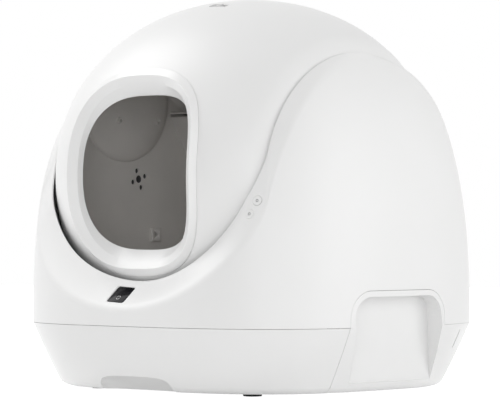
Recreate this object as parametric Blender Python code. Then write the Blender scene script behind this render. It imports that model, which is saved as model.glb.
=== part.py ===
"""Self cleaning litter box: a turning drum in a domed housing, over a drawer for the waste.

Metres, +Z up. The front faces -Y, and the origin is on the floor under the middle.
"""
import math

import bmesh
import bpy
from mathutils import Matrix, Vector

# Clearances
SEAT_GAP = 0.0003          # between pieces that touch
SLIDE_GAP = 0.0008         # between pieces that slide past each other
OVERRUN = 0.020            # how far a cutter reaches past what it cuts
ROUND_STEPS = 16
CORNER_STEPS = 6
SHARP_ANGLE = math.radians(30)

# Outer plan of the housing and the tray, a rounded rectangle
PLAN_HALF_WIDTH = 0.3315
PLAN_HALF_DEPTH = 0.3085
PLAN_POWER = 3.04
SEAM_Z = 0.109             # joint between the housing and the tray
SEAM_GAP = 0.0010

# Drum's axis, the dome over it, and the top of the dome's ears
DRUM_SPACE = 0.0155        # from the plan's front to the drum
DRUM_RADIUS = PLAN_HALF_DEPTH - DRUM_SPACE
DRUM_FLOOR_SPACE = 0.054   # from the floor to the drum
AXIS_Y = -0.008
AXIS_Z = DRUM_RADIUS + DRUM_FLOOR_SPACE
DOME_RISE = 0.029          # past the drum's top to where the dome would close
DOME_REACH = AXIS_Z + DRUM_RADIUS + DOME_RISE - SEAM_Z
DOME_POWER = 2.5
EAR_FOLD_SHARE = 0.6382    # of the drum's radius
EAR_FOLD_RADIUS = EAR_FOLD_SHARE * DRUM_RADIUS
EAR_TOP_SHARE = (AXIS_Z + EAR_FOLD_RADIUS - SEAM_Z) / DOME_REACH
EAR_TOP_HALF_WIDTH = PLAN_HALF_WIDTH * (1 - EAR_TOP_SHARE ** DOME_POWER) ** (1 / DOME_POWER)
EAR_BAND = 0.0057          # width of the ear's top
EAR_HALF_WIDTH = EAR_TOP_HALF_WIDTH - EAR_BAND
EAR_DEPTH = PLAN_HALF_WIDTH - EAR_HALF_WIDTH

# Drum
DRUM_HALF_WIDTH = EAR_HALF_WIDTH + SEAT_GAP
DRUM_REACH_SHARE = 1.2954  # where the drum's curve would close
DRUM_REACH = DRUM_REACH_SHARE * DRUM_HALF_WIDTH
DRUM_SIDE_POWER = 2.056
DRUM_CROWN_POWER = 2.54
SHOULDER_WIDTH = 0.0305
SHOULDER_START = DRUM_HALF_WIDTH - SHOULDER_WIDTH
SHOULDER_DROP = 0.018
DRUM_WALL = 0.003
DRUM_STEPS = 36
DRUM_STATION_SHARES = (0.22, 0.44, 0.63, 0.79, 0.9, 0.96, 1.0)

# Edge of the housing round the drum, and the fold outside it; a bend's lowest place is its
# rise above the axis less its drop
EDGE_GAP = 0.0078
EDGE_SWELL = 0.0060
EDGE_SWELL_SPACE = 0.0298
EDGE_SWELL_SPAN = EAR_HALF_WIDTH + EDGE_SWELL_SPACE
FRONT_EDGE_RISE = 0.050
FRONT_EDGE_DROP_SPACE = 0.076
FRONT_EDGE_DROP = DRUM_RADIUS - FRONT_EDGE_DROP_SPACE
FRONT_EDGE_INSET = 0.0062
FRONT_EDGE_HALF_WIDTH = EAR_HALF_WIDTH - FRONT_EDGE_INSET
FRONT_FOLD_RISE = -0.026
FRONT_FOLD_DROP_SPACE = 0.110
FRONT_FOLD_DROP = DRUM_RADIUS - FRONT_FOLD_DROP_SPACE
FRONT_FOLD_OUTSET = 0.0120
FRONT_FOLD_HALF_WIDTH = EAR_HALF_WIDTH + FRONT_FOLD_OUTSET
FRONT_FOLD_POWER = 4.0
REAR_EDGE_RISE = 0.060
REAR_EDGE_DROP_SPACE = 0.183
REAR_EDGE_DROP = DRUM_RADIUS - REAR_EDGE_DROP_SPACE
REAR_EDGE_INSET = 0.0132
REAR_EDGE_HALF_WIDTH = EAR_HALF_WIDTH - REAR_EDGE_INSET
REAR_FOLD_RISE = 0.020
REAR_FOLD_DROP_SPACE = 0.195
REAR_FOLD_DROP = DRUM_RADIUS - REAR_FOLD_DROP_SPACE
REAR_FOLD_OUTSET = 0.0028
REAR_FOLD_HALF_WIDTH = EAR_HALF_WIDTH + REAR_FOLD_OUTSET
REAR_FOLD_POWER = 1.0
HOUSING_WALL = 0.0025
FRONT_COLUMNS = 14         # mesh columns along half of a bend of the edge
REAR_COLUMNS = 7
SIDE_COLUMNS = 7
DOME_ROW_SHARES = (0.12, 0.28, 0.48, 0.72, 1.0)

# Tray
TRAY_BOTTOM_Z = 0.0055
TRAY_TAPER_SHARE = 0.1373  # how much the plan draws in from the seam to the bottom
TAPER_STRAIGHT_SHARE = 0.87
TRAY_EDGE_RADIUS = 0.010
TRAY_EDGE_STEPS = 3
TRAY_WALL = 0.003
TRAY_FLOOR = 0.004
TRAY_COLUMNS = 64
TRAY_ROW_SHARES = (0.33, 0.67)
DRAWER_FRONT_DEPTH = 0.188
SPLIT_Y = DRAWER_FRONT_DEPTH - PLAN_HALF_DEPTH   # the drawer's front lies before this
TONGUE_SIDE_SPACE = 0.0145
TONGUE_FRONT_SPACE = 0.0301
TONGUE_HALF_WIDTH = PLAN_HALF_WIDTH * (1 - TRAY_TAPER_SHARE) - TONGUE_SIDE_SPACE
TONGUE_HALF_DEPTH = PLAN_HALF_DEPTH * (1 - TRAY_TAPER_SHARE) - TONGUE_FRONT_SPACE

# Chamber inside the drum
LINER_SPACE = 0.013        # from the barrel's outside to the liner's outside
LINER_WALL = 0.0025
LINER_INSET = 0.0095
LINER_HALF_WIDTH = DRUM_HALF_WIDTH - LINER_INSET
LINER_STEPS = 28
LINER_SHARES = (0.45, 0.75, 0.9, 1.0)
DISH_RIM_SPACE = 0.0140
DISH_SHOULDER_OUTSET = 0.0015
DISH_SHOULDER_X = DRUM_HALF_WIDTH + DISH_SHOULDER_OUTSET
DISH_FLAT_OUTSET = 0.0115
DISH_FLAT_X = DRUM_HALF_WIDTH + DISH_FLAT_OUTSET
DISH_FLAT_SHARE = 0.5461   # of the drum's radius
DISH_FLAT_RADIUS = DISH_FLAT_SHARE * DRUM_RADIUS
DISH_WALL = 0.003
SHAFT_RADIUS = 0.010
SHAFT_LENGTH = 0.028
SHAFT_END_X = DISH_FLAT_X + SHAFT_LENGTH
SHAFT_WALL = 0.0035
HUB_BORE = SHAFT_RADIUS - SHAFT_WALL
HUB_HOLE = 0.0035
HUB_HOLE_SPACE = 0.005
HUB_HOLE_CIRCLE = SHAFT_RADIUS + HUB_HOLE_SPACE
HUB_HOLES = 4
HUB_HOLE_TURN = math.radians(20)
HUB_HOLE_STEPS = 10
HUB_RIM = 0.013
HUB_FLANGE_RADIUS = HUB_HOLE_CIRCLE + HUB_RIM
HUB_FLANGE = 0.005
FILTER_Y = -0.037
FILTER_SPACE = 0.162       # from the filter's middle up to the drum's outside
FILTER_Z = DRUM_RADIUS - FILTER_SPACE
FILTER_RADIUS = 0.102
FILTER_BULGE = 0.030
FILTER_COLUMNS = 32
FILTER_ROWS = 12
FILTER_BOSS_RADIUS = 0.006
FILTER_BOSS_PROUD = 0.004
FILTER_BOSS_DROP = 0.033   # from the dome's middle down to the bosses
FILTER_BOSS_OFFSETS = (-0.036, 0.058)
PANEL_WALL = 0.003
PANEL_CORNER_Y = 0.076
PANEL_SPACE = 0.180
PANEL_CORNER_Z = DRUM_RADIUS - PANEL_SPACE
SIEVE_LEAN = math.radians(58.6)
SIEVE_END_GAP = 0.004
SIEVE_SLOTS = 20
SIEVE_MARGIN = 0.0365
SIEVE_PITCH = 2 * (LINER_HALF_WIDTH - SIEVE_MARGIN) / (SIEVE_SLOTS - 1)
SIEVE_RIB = 0.012
SIEVE_SLOT_WIDTH = SIEVE_PITCH - SIEVE_RIB
SIEVE_SLOT_START = 0.035
SIEVE_RIM = 0.0112         # from the outermost slots' ends to the chamber's wall
CLIP_WIDTH = 0.022
CLIP_HEIGHT = 0.023
CLIP_DEPTH = 0.006
CLIP_Y = 0.0365
CLIP_SHARE = 0.5936        # of the radius of the chamber's flat end
CLIP_Z = -CLIP_SHARE * DISH_FLAT_RADIUS

# Entry ring; the reach of each loop is along X, its sweep is an angle about the axis
ENTRY_TURN = math.radians(1.45)
ENTRY_POWER = 3.0
ENTRY_POINTS = 48
FLANGE_REACH = 0.143
FLANGE_SWEEP = math.radians(34.3)
FLANGE_EDGE = 0.0012
CREASE_INSET = 0.006
CREASE_REACH = FLANGE_REACH - CREASE_INSET
CREASE_SWEEP = math.radians(31.4)
CROWN_RISE = 0.0035
CROWN_RADIUS = DRUM_RADIUS + CROWN_RISE
CROWN_FALL = 0.015
LIP_INSET = 0.0145
LIP_REACH = CREASE_REACH - LIP_INSET
LIP_SWEEP = math.radians(29.75)
LIP_DEPTH = 0.0130
LIP_UNDER = 0.0005         # from the lip down to the underside behind it
HOLE_INSET = 0.0035        # from the crease to the hole in the barrel
HOLE_REACH = CREASE_REACH - HOLE_INSET
HOLE_SWEEP_INSET = math.radians(0.3)
HOLE_SWEEP = CREASE_SWEEP - HOLE_SWEEP_INSET
SLEEVE_INSET = 0.0035
SLEEVE_REACH = LIP_REACH - SLEEVE_INSET
SLEEVE_SWEEP = math.radians(28.0)
SLEEVE_DEPTH = 0.031
SLEEVE_RADIUS = DRUM_RADIUS - SLEEVE_DEPTH
SLEEVE_WALL = 0.003
RING_SEAT = 0.0006
RING_HOLE_GAP = 0.0007

# Drive
GEAR_TEETH = 60
PINION_TEETH = 10
GEAR_SHARE = 0.825         # of the radius of the chamber's flat end
GEAR_PITCH_RADIUS = GEAR_SHARE * DISH_FLAT_RADIUS
GEAR_MODULE = 2 * GEAR_PITCH_RADIUS / GEAR_TEETH
PRESSURE_ANGLE = math.radians(25)
ADDENDUM_SHARE = 0.8
DEDENDUM_SHARE = 1.02
BACKLASH = 0.0004
RING_FLANK_SHARES = (0.0, 1.0)
PINION_FLANK_SHARES = (0.0, 0.45, 1.0)
BRACKET_SPACE_SHARE = 0.168   # from the chamber's end to the bracket, of the ear's depth
BRACKET_SPACE = BRACKET_SPACE_SHARE * EAR_DEPTH
GEAR_SPACE = 0.0022
GEAR_WIDTH = BRACKET_SPACE - SEAT_GAP - GEAR_SPACE
GEAR_RING = 0.014          # ring gear's body inside its teeth
MESH_GAP = 0.0003
PINION_TURN = math.radians(-50)
MOTOR_SHAFT_RADIUS = 0.004
PINION_BORE = MOTOR_SHAFT_RADIUS + SEAT_GAP
BRACKET_X = DISH_FLAT_X + BRACKET_SPACE
BRACKET_WALL = 0.008
BEARING_SPACE = 0.008
BEARING_RADIUS = SHAFT_RADIUS + BEARING_SPACE
BEARING_WIDTH = 0.0115
BRACKET_RIM = 0.016
BRACKET_TOP_RADIUS = BEARING_RADIUS + BRACKET_RIM
BRACKET_FOOT_HALF_DEPTH = 0.085
BRACKET_WAIST_Z = 0.100
BRACKET_WAIST_HALF_DEPTH = 0.110
GEARBOX_DEPTH = 0.060
GEARBOX_HEIGHT = 0.066
GEARBOX_SPACE_SHARE = 0.255   # from the gearbox to the plan's side, of the ear's depth
GEARBOX_SPACE = GEARBOX_SPACE_SHARE * EAR_DEPTH
GEARBOX_WIDTH = PLAN_HALF_WIDTH - GEARBOX_SPACE - BRACKET_X - BRACKET_WALL
MOTOR_INSET = 0.001
MOTOR_RADIUS = GEARBOX_WIDTH / 2 - MOTOR_INSET
MOTOR_LENGTH = 0.055
MOTOR_DROP = 0.012

# Hand grips in the tray's sides
GRIP_SPLIT_SPACE = 0.0005
GRIP_FRONT_Y = SPLIT_Y + GRIP_SPLIT_SPACE
GRIP_REAR_SPACE = 0.2025
GRIP_REAR_Y = PLAN_HALF_DEPTH - GRIP_REAR_SPACE
GRIP_HEIGHT = 0.057        # above the seam
GRIP_TOP_Z = SEAM_Z + GRIP_HEIGHT
GRIP_CORNER = 0.044
GRIP_GAP = 0.0006
GRIP_LIP = 0.009
POCKET_FOOT_RISE = 0.0145
POCKET_FOOT_Z = TRAY_BOTTOM_Z + POCKET_FOOT_RISE
POCKET_FRONT_INSET = 0.034
POCKET_FOOT_FRONT_Y = GRIP_FRONT_Y + POCKET_FRONT_INSET
POCKET_REAR_OUTSET = 0.012
POCKET_FOOT_REAR_Y = GRIP_REAR_Y + POCKET_REAR_OUTSET
POCKET_SPACE = 0.0055      # from the bracket to the pocket's panel
POCKET_FOOT_X = BRACKET_X + BRACKET_WALL + POCKET_SPACE
POCKET_LEAN = 0.0177
POCKET_TOP_X = POCKET_FOOT_X + POCKET_LEAN

# Corner slots behind the hand grips
SLOT_SPACE_X = 0.0315
SLOT_SPACE_Y = 0.1465
SLOT_TURN = math.atan2(PLAN_HALF_DEPTH - SLOT_SPACE_Y, PLAN_HALF_WIDTH - SLOT_SPACE_X)
SLOT_DROP = 0.010
SLOT_TOP_Z = SEAM_Z - SLOT_DROP
SLOT_HEIGHT = 0.029
SLOT_FOOT_Z = SLOT_TOP_Z - SLOT_HEIGHT
SLOT_WIDTH = 0.003
SLOT_LENGTH = 0.030

# Feet
FOOT_SPACE_X = 0.1605
FOOT_SPACE_Y = 0.1295
FOOT_X = PLAN_HALF_WIDTH - FOOT_SPACE_X
FOOT_Y = PLAN_HALF_DEPTH - FOOT_SPACE_Y
FOOT_RADIUS = 0.015
FOOT_EDGE = 0.001

# Latch slider near the top of the drum
LATCH_TURN = math.radians(17.3)
LATCH_SLOT_LENGTH = 0.036
LATCH_SLOT_WIDTH = 0.012
LATCH_TRAVEL = 0.012
LATCH_OVERLAP = 0.003      # plate past the slot, all round
LATCH_PLATE_LENGTH = LATCH_SLOT_LENGTH + 2 * LATCH_OVERLAP
LATCH_PLATE_WIDTH = LATCH_SLOT_WIDTH + 2 * LATCH_OVERLAP
LATCH_PLATE = 0.002
LATCH_PROUD = 0.0012
LATCH_GROOVES = 3
LATCH_GROOVE = 0.0010
LATCH_GROOVE_PITCH = 0.0030

# Display and buttons in the collar
WINDOW_SIZE = 0.036
WINDOW_FROM_FOLD = 0.0315
WINDOW_THICKNESS = 0.003
WINDOW_TURN = math.radians(-3.9)
DISPLAY_BOARD_RIM = 0.004
DISPLAY_BOARD_SIZE = WINDOW_SIZE + 2 * DISPLAY_BOARD_RIM
BOARD_THICKNESS = 0.0016
BUTTON_RADIUS = 0.0075
BUTTON_PROUD = 0.0006
BUTTON_DEPTH = 0.0075
BUTTON_FLANGE_RIM = 0.0011
BUTTON_FLANGE_RADIUS = BUTTON_RADIUS + BUTTON_FLANGE_RIM
BUTTON_FLANGE = 0.0015
BUTTON_FLANGE_SPACE = 0.0022
BUTTON_TRAVEL = 0.0012
BUTTON_UPPER_TURN = math.radians(74.7)
BUTTON_LOWER_TURN = math.radians(68.5)
BUTTON_ACROSS_SHARE = 0.49
BUTTON_BOARD_GAP = 0.0049   # from a button's collar to the board's post
BUTTON_BOARD_WIDTH = 0.018
BUTTON_BOARD_POST = 0.006
BUTTON_POST_SPACE = 0.0038

# Drawer
BIN_BRACKET_SPACE = 0.0715
BIN_HALF_WIDTH = BRACKET_X - BIN_BRACKET_SPACE
BIN_SPACE_FRONT = 0.0112   # from the bin's corners to the tray's outside
BIN_SPACE_REAR = 0.0202
BIN_WALL = 0.0025
BIN_FLOOR_GAP = 0.0005
BIN_DRUM_GAP = 0.003
BIN_TOP_SHARES = (-1.0, -0.8, -0.6, -0.4, -0.2, 0.0, 0.2, 0.4, 0.6, 0.8, 1.0)
NOTCH_INSET_X = 0.120
NOTCH_HALF_WIDTH = BIN_HALF_WIDTH - NOTCH_INSET_X
NOTCH_DROP = 0.0035
NOTCH_Z = TRAY_BOTTOM_Z - NOTCH_DROP
NOTCH_RADIUS = 0.028
NOTCH_SPACE = 0.001        # from the scoop to the tray's tongue
NOTCH_Y = -TONGUE_HALF_DEPTH - NOTCH_SPACE - TRAY_WALL - NOTCH_RADIUS
NOTCH_POWER = 4.0
NOTCH_SHARES = (-0.995, -0.94, -0.8, -0.5, 0.0, 0.5, 0.8, 0.94, 0.995)
ARM_INSET = 0.070
ARM_X = BIN_HALF_WIDTH - ARM_INSET
ARM_WIDTH = 0.020
ARM_DROP = 0.004           # below the lowest place of the drum
ARM_TOP_Z = DRUM_FLOOR_SPACE - ARM_DROP
ARM_HEIGHT = 0.014
BAG_RING_DROP = 0.008
BAG_RING_HEIGHT = 0.008
BAG_RING_Z = ARM_TOP_Z - ARM_HEIGHT - BAG_RING_DROP
BAG_RING_WIDTH = 0.006
RAIL_WIDTH = 0.0087
RAIL_HEIGHT = 0.020
RAIL_FRONT_SPACE = 0.039
RAIL_REAR_SPACE = 0.010

# Electrics in the tray
BOARD_SPACE = 0.0132       # from the drawer's rail space to the board
BOARD_X = BIN_HALF_WIDTH + SLIDE_GAP + BOARD_SPACE
BOARD_Y = -0.040
BOARD_BRACKET_SPACE = 0.0075
BOARD_WIDTH = BRACKET_X - BOARD_BRACKET_SPACE - BOARD_X
BOARD_LENGTH = 0.090
INLET_SPACE = 0.1415
INLET_X = PLAN_HALF_WIDTH - INLET_SPACE
INLET_Z = 0.045
INLET_RADIUS = 0.008
INLET_BORE = 0.0035
INLET_LENGTH = 0.016
INLET_PROUD = 0.003


def material(name, colour, roughness, metallic=0.0):
    """A plain principled material."""
    made = bpy.data.materials.new(name)
    made.use_nodes = True
    shader = made.node_tree.nodes["Principled BSDF"]
    shader.inputs["Base Color"].default_value = (*colour, 1.0)
    shader.inputs["Roughness"].default_value = roughness
    shader.inputs["Metallic"].default_value = metallic
    made.diffuse_color = (*colour, 1.0)
    return made


def add_empty(name, parent=None, location=(0, 0, 0), rotation=None):
    """An empty that marks a joint's axis or a local frame."""
    empty = bpy.data.objects.new(name, None)
    bpy.context.collection.objects.link(empty)
    empty.parent = parent
    empty.location = location
    if rotation is not None:
        empty.rotation_euler = rotation
    return empty


def add_piece(name, shape, look, parent=None, location=(0, 0, 0)):
    """Makes one object of a bmesh, shaded smooth but for its sharp edges."""
    mesh = bpy.data.meshes.new(name)
    shape.to_mesh(mesh)
    shape.free()
    mesh.materials.append(look)
    mesh.shade_smooth()
    mesh.set_sharp_from_angle(angle=SHARP_ANGLE)
    piece = bpy.data.objects.new(name, mesh)
    bpy.context.collection.objects.link(piece)
    piece.parent = parent
    piece.location = location
    return piece


def add_cutter(name, shape, parent=None, location=(0, 0, 0)):
    """Makes an object that only shapes others."""
    mesh = bpy.data.meshes.new(name)
    shape.to_mesh(mesh)
    shape.free()
    cutter = bpy.data.objects.new(name, mesh)
    bpy.context.collection.objects.link(cutter)
    cutter.parent = parent
    cutter.location = location
    cutter.hide_render = True
    cutter.display_type = "WIRE"
    return cutter


def shape_by(piece, cutter, operation="DIFFERENCE"):
    """Cuts, trims or joins a piece with another object."""
    change = piece.modifiers.new(cutter.name, "BOOLEAN")
    change.operation = operation
    change.solver = "EXACT"
    change.object = cutter


def box(low, high):
    """A box between two corners."""
    low = Vector(low)
    high = Vector(high)
    shape = bmesh.new()
    bmesh.ops.create_cube(shape, size=1.0)
    bmesh.ops.scale(shape, vec=high - low, verts=shape.verts)
    bmesh.ops.translate(shape, vec=(high + low) / 2, verts=shape.verts)
    return shape


def boxes(corners):
    """Several boxes in one mesh, for a cutter that repeats."""
    shape = bmesh.new()
    for low, high in corners:
        made = bmesh.ops.create_cube(shape, size=1.0)
        bmesh.ops.scale(shape, vec=Vector(high) - Vector(low), verts=made["verts"])
        bmesh.ops.translate(shape, vec=(Vector(high) + Vector(low)) / 2, verts=made["verts"])
    return shape


def extrude_outline(points, travel):
    """A solid swept from a flat closed outline along a straight line."""
    shape = bmesh.new()
    face = shape.faces.new([shape.verts.new(point) for point in points])
    made = bmesh.ops.extrude_face_region(shape, geom=[face])
    moved = [item for item in made["geom"] if isinstance(item, bmesh.types.BMVert)]
    bmesh.ops.translate(shape, verts=moved, vec=travel)
    bmesh.ops.recalc_face_normals(shape, faces=shape.faces)
    return shape


def turn_profile(profile, steps):
    """Turns a closed profile of (x, radius) points about the X axis."""
    shape = bmesh.new()
    verts = [shape.verts.new((x, 0, radius)) for x, radius in profile]
    edges = [shape.edges.new((a, b)) for a, b in zip(verts, verts[1:] + verts[:1])]
    bmesh.ops.spin(shape, geom=verts + edges, cent=(0, 0, 0), axis=(1, 0, 0),
                   angle=math.tau, steps=steps, use_merge=True)
    bmesh.ops.recalc_face_normals(shape, faces=shape.faces)
    return shape


def skin_loops(loops, ring=False):
    """Skins equal loops; closes the ends with caps, or the last to the first as a ring."""
    shape = bmesh.new()
    rows = [[shape.verts.new(point) for point in loop] for loop in loops]
    pairs = list(zip(rows, rows[1:]))
    if ring:
        pairs.append((rows[-1], rows[0]))
    for first, second in pairs:
        for here, after in zip(range(len(first)), list(range(1, len(first))) + [0]):
            shape.faces.new((first[here], first[after], second[after], second[here]))
    if not ring:
        shape.faces.new(rows[0][::-1])
        shape.faces.new(rows[-1])
    bmesh.ops.recalc_face_normals(shape, faces=shape.faces)
    return shape


def cylinder(radius, start, end, steps=ROUND_STEPS):
    """A round bar along local Z."""
    shape = bmesh.new()
    bmesh.ops.create_cone(shape, cap_ends=True, segments=steps, radius1=radius, radius2=radius,
                          depth=end - start)
    bmesh.ops.translate(shape, verts=shape.verts, vec=(0, 0, (start + end) / 2))
    return shape


def lie_along_x(shape, y=0.0, z=0.0):
    """Turns a bar made along Z to lie along X, through a place in Y and Z."""
    bmesh.ops.rotate(shape, cent=(0, 0, 0), matrix=Matrix.Rotation(math.pi / 2, 3, "Y"),
                     verts=shape.verts)
    bmesh.ops.translate(shape, verts=shape.verts, vec=(0, y, z))
    return shape


def mirror_x(shape):
    """Mirrors a shape to the other side of the middle plane."""
    bmesh.ops.scale(shape, vec=(-1, 1, 1), verts=shape.verts)
    bmesh.ops.reverse_faces(shape, faces=shape.faces)
    return shape


def on_side(shape, side):
    """Leaves a shape on the right for side 1, and mirrors it to the left for -1."""
    return shape if side > 0 else mirror_x(shape)


def signed_power(value, power):
    """A power that keeps the sign, for rounded-rectangle curves."""
    return math.copysign(abs(value) ** power, value)


def lerp(a, b, share):
    """The value that lies a share of the way from a to b."""
    return a + (b - a) * share


def plan_scale(z):
    """Size of the outer plan at a height, as a share of its size at the seam."""
    if z >= SEAM_Z:
        rise = min((z - SEAM_Z) / DOME_REACH, 1)
        return (1 - rise ** DOME_POWER) ** (1 / DOME_POWER)
    depth = (SEAM_Z - z) / (SEAM_Z - TRAY_BOTTOM_Z)
    drawn_in = TAPER_STRAIGHT_SHARE * depth + (1 - TAPER_STRAIGHT_SHARE) * depth ** 2
    return 1 - TRAY_TAPER_SHARE * drawn_in


def plan_radius(turn, z, inset=0.0):
    """Distance from the centre line to the outer wall at a plan angle and height."""
    half_width = PLAN_HALF_WIDTH * plan_scale(z) - inset
    half_depth = PLAN_HALF_DEPTH * plan_scale(z) - inset
    across = abs(math.cos(turn)) / half_width
    along = abs(math.sin(turn)) / half_depth
    return (across ** PLAN_POWER + along ** PLAN_POWER) ** (-1 / PLAN_POWER)


def plan_loop(z, inset=0.0):
    """The outer plan at a height, as a loop of points."""
    loop = []
    for step in range(TRAY_COLUMNS):
        angle = math.tau * (step + 0.5) / TRAY_COLUMNS
        turn = math.atan2(signed_power(math.sin(angle), 2 / PLAN_POWER) * PLAN_HALF_DEPTH,
                          signed_power(math.cos(angle), 2 / PLAN_POWER) * PLAN_HALF_WIDTH)
        radius = plan_radius(turn, z, inset)
        loop.append((radius * math.cos(turn), radius * math.sin(turn), z))
    return loop


def dome_depth(x, z):
    """How far the dome's front or back lies from the middle, at a place in X and Z."""
    share = min(abs(x) / (PLAN_HALF_WIDTH * plan_scale(z)), 1)
    return PLAN_HALF_DEPTH * plan_scale(z) * (1 - share ** PLAN_POWER) ** (1 / PLAN_POWER)


def dome_half_width(y, z):
    """How far the dome's side lies from the middle, at a place in Y and Z."""
    share = min(abs(y) / (PLAN_HALF_DEPTH * plan_scale(z)), 1)
    return PLAN_HALF_WIDTH * plan_scale(z) * (1 - share ** PLAN_POWER) ** (1 / PLAN_POWER)


def drum_radius(x):
    """Radius of the barrel's outside at a distance from its middle."""
    x = abs(x)
    crown = DRUM_RADIUS * (1 - (x / DRUM_REACH) ** DRUM_SIDE_POWER) ** (1 / DRUM_CROWN_POWER)
    shoulder = max(x - SHOULDER_START, 0) / (DRUM_HALF_WIDTH - SHOULDER_START)
    return crown - SHOULDER_DROP * shoulder ** 2


def edge_radius(x):
    """Radius about the drum's axis of the housing's edge."""
    swell = math.sin(math.pi * x / EDGE_SWELL_SPAN) ** 2
    return drum_radius(x) + EDGE_GAP + EDGE_SWELL * swell


def edge_point(x, rise, facing):
    """A point of the housing's edge; facing is -1 at the front and 1 at the rear."""
    reach = math.sqrt(edge_radius(x) ** 2 - rise ** 2)
    return Vector((x, AXIS_Y + facing * reach, AXIS_Z + rise))


def bend_points(turn, facing):
    """Edge and fold at a turn along the bend of the opening's front or rear, on the right."""
    if facing < 0:
        edge = (FRONT_EDGE_RISE, FRONT_EDGE_DROP, FRONT_EDGE_HALF_WIDTH)
        fold = (FRONT_FOLD_RISE, FRONT_FOLD_DROP, FRONT_FOLD_HALF_WIDTH)
    else:
        edge = (REAR_EDGE_RISE, REAR_EDGE_DROP, REAR_EDGE_HALF_WIDTH)
        fold = (REAR_FOLD_RISE, REAR_FOLD_DROP, REAR_FOLD_HALF_WIDTH)
    inner = edge_point(edge[2] * math.sin(turn), edge[0] - edge[1] * math.cos(turn), facing)
    x = fold[2] * math.sin(turn)
    z = AXIS_Z + fold[0] - fold[1] * math.cos(turn)
    return inner, Vector((x, facing * dome_depth(x, z), z))


def side_points(share, facing):
    """Edge and fold at a share of the way from the end of a bend to the top of the ear."""
    half_turn = math.pi / 2
    bend_edge, bend_fold = bend_points(half_turn, facing)
    rise = bend_edge.z - AXIS_Z
    start = math.asin(rise / edge_radius(bend_edge.x))
    turn = lerp(start, half_turn, share)
    flare = (math.sin(turn) - math.sin(start)) / (1 - math.sin(start))
    x = lerp(bend_edge.x, EAR_HALF_WIDTH, flare)
    inner = edge_point(x, edge_radius(x) * math.sin(turn), facing)
    rise = bend_fold.z - AXIS_Z
    reach = math.hypot(bend_fold.y - AXIS_Y, rise)
    turn = lerp(math.asin(rise / reach), half_turn, share)
    power = FRONT_FOLD_POWER if facing < 0 else REAR_FOLD_POWER
    reach = lerp(EAR_FOLD_RADIUS, reach, (1 - share) ** power)
    y = AXIS_Y + facing * reach * math.cos(turn)
    z = AXIS_Z + reach * math.sin(turn)
    return inner, Vector((dome_half_width(y, z), y, z))


def collar_columns():
    """Pairs of edge and fold points round the whole opening."""
    half_turn = math.pi / 2
    right = [bend_points(half_turn * step / FRONT_COLUMNS, -1) for step in range(FRONT_COLUMNS)]
    right += [side_points(step / SIDE_COLUMNS, -1) for step in range(SIDE_COLUMNS)]
    right += [side_points(step / SIDE_COLUMNS, 1) for step in range(SIDE_COLUMNS, 0, -1)]
    right += [bend_points(half_turn * step / REAR_COLUMNS, 1) for step in range(REAR_COLUMNS, -1, -1)]
    left = [[Vector((-point.x, point.y, point.z)) for point in pair] for pair in right[-2:0:-1]]
    return right + left


def band_frame(turn, across_share):
    """Place and directions on the collar's front: X along it, Z out of it."""
    step = math.radians(1)
    edge, fold = bend_points(turn, -1)
    before = bend_points(turn - step, -1)
    after = bend_points(turn + step, -1)
    along = lerp(after[0], after[1], across_share) - lerp(before[0], before[1], across_share)
    along.normalize()
    out = along.cross(edge - fold).normalized()
    if out.y > 0:
        out.negate()
    up = out.cross(along)
    frame = Matrix((along, up, out)).transposed().to_4x4()
    frame.translation = lerp(edge, fold, across_share)
    return frame


def grip_outline(grow=0.0, foot_z=SEAM_Z):
    """The raised hand grip seen from the side: a box with two round top corners."""
    front = GRIP_FRONT_Y - grow
    rear = GRIP_REAR_Y + grow
    top = GRIP_TOP_Z + grow
    corner = GRIP_CORNER + grow
    points = [(front, foot_z)]
    for step in range(CORNER_STEPS + 1):
        angle = math.pi / 2 * step / CORNER_STEPS
        points.append((front + corner * (1 - math.cos(angle)), top - corner * (1 - math.sin(angle))))
    for step in range(CORNER_STEPS, -1, -1):
        angle = math.pi / 2 * step / CORNER_STEPS
        points.append((rear - corner * (1 - math.cos(angle)), top - corner * (1 - math.sin(angle))))
    points.append((rear, foot_z))
    return points


def pocket(grow, side):
    """The hand grip's recess: a wedge outside a leaning panel, as a cutter's shape."""
    outline = grip_outline(grow - GRIP_LIP, POCKET_FOOT_Z - grow)
    outline[0] = (POCKET_FOOT_FRONT_Y - grow, POCKET_FOOT_Z - grow)
    outline[-1] = (POCKET_FOOT_REAR_Y + grow, POCKET_FOOT_Z - grow)
    lean = (POCKET_TOP_X - POCKET_FOOT_X) / (GRIP_TOP_Z - GRIP_LIP - POCKET_FOOT_Z)
    inner = [(POCKET_FOOT_X - grow + lean * (z - POCKET_FOOT_Z), y, z) for y, z in outline]
    outer = [(PLAN_HALF_WIDTH + OVERRUN, y, z) for y, z in outline]
    return on_side(skin_loops([inner, outer]), side)


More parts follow.
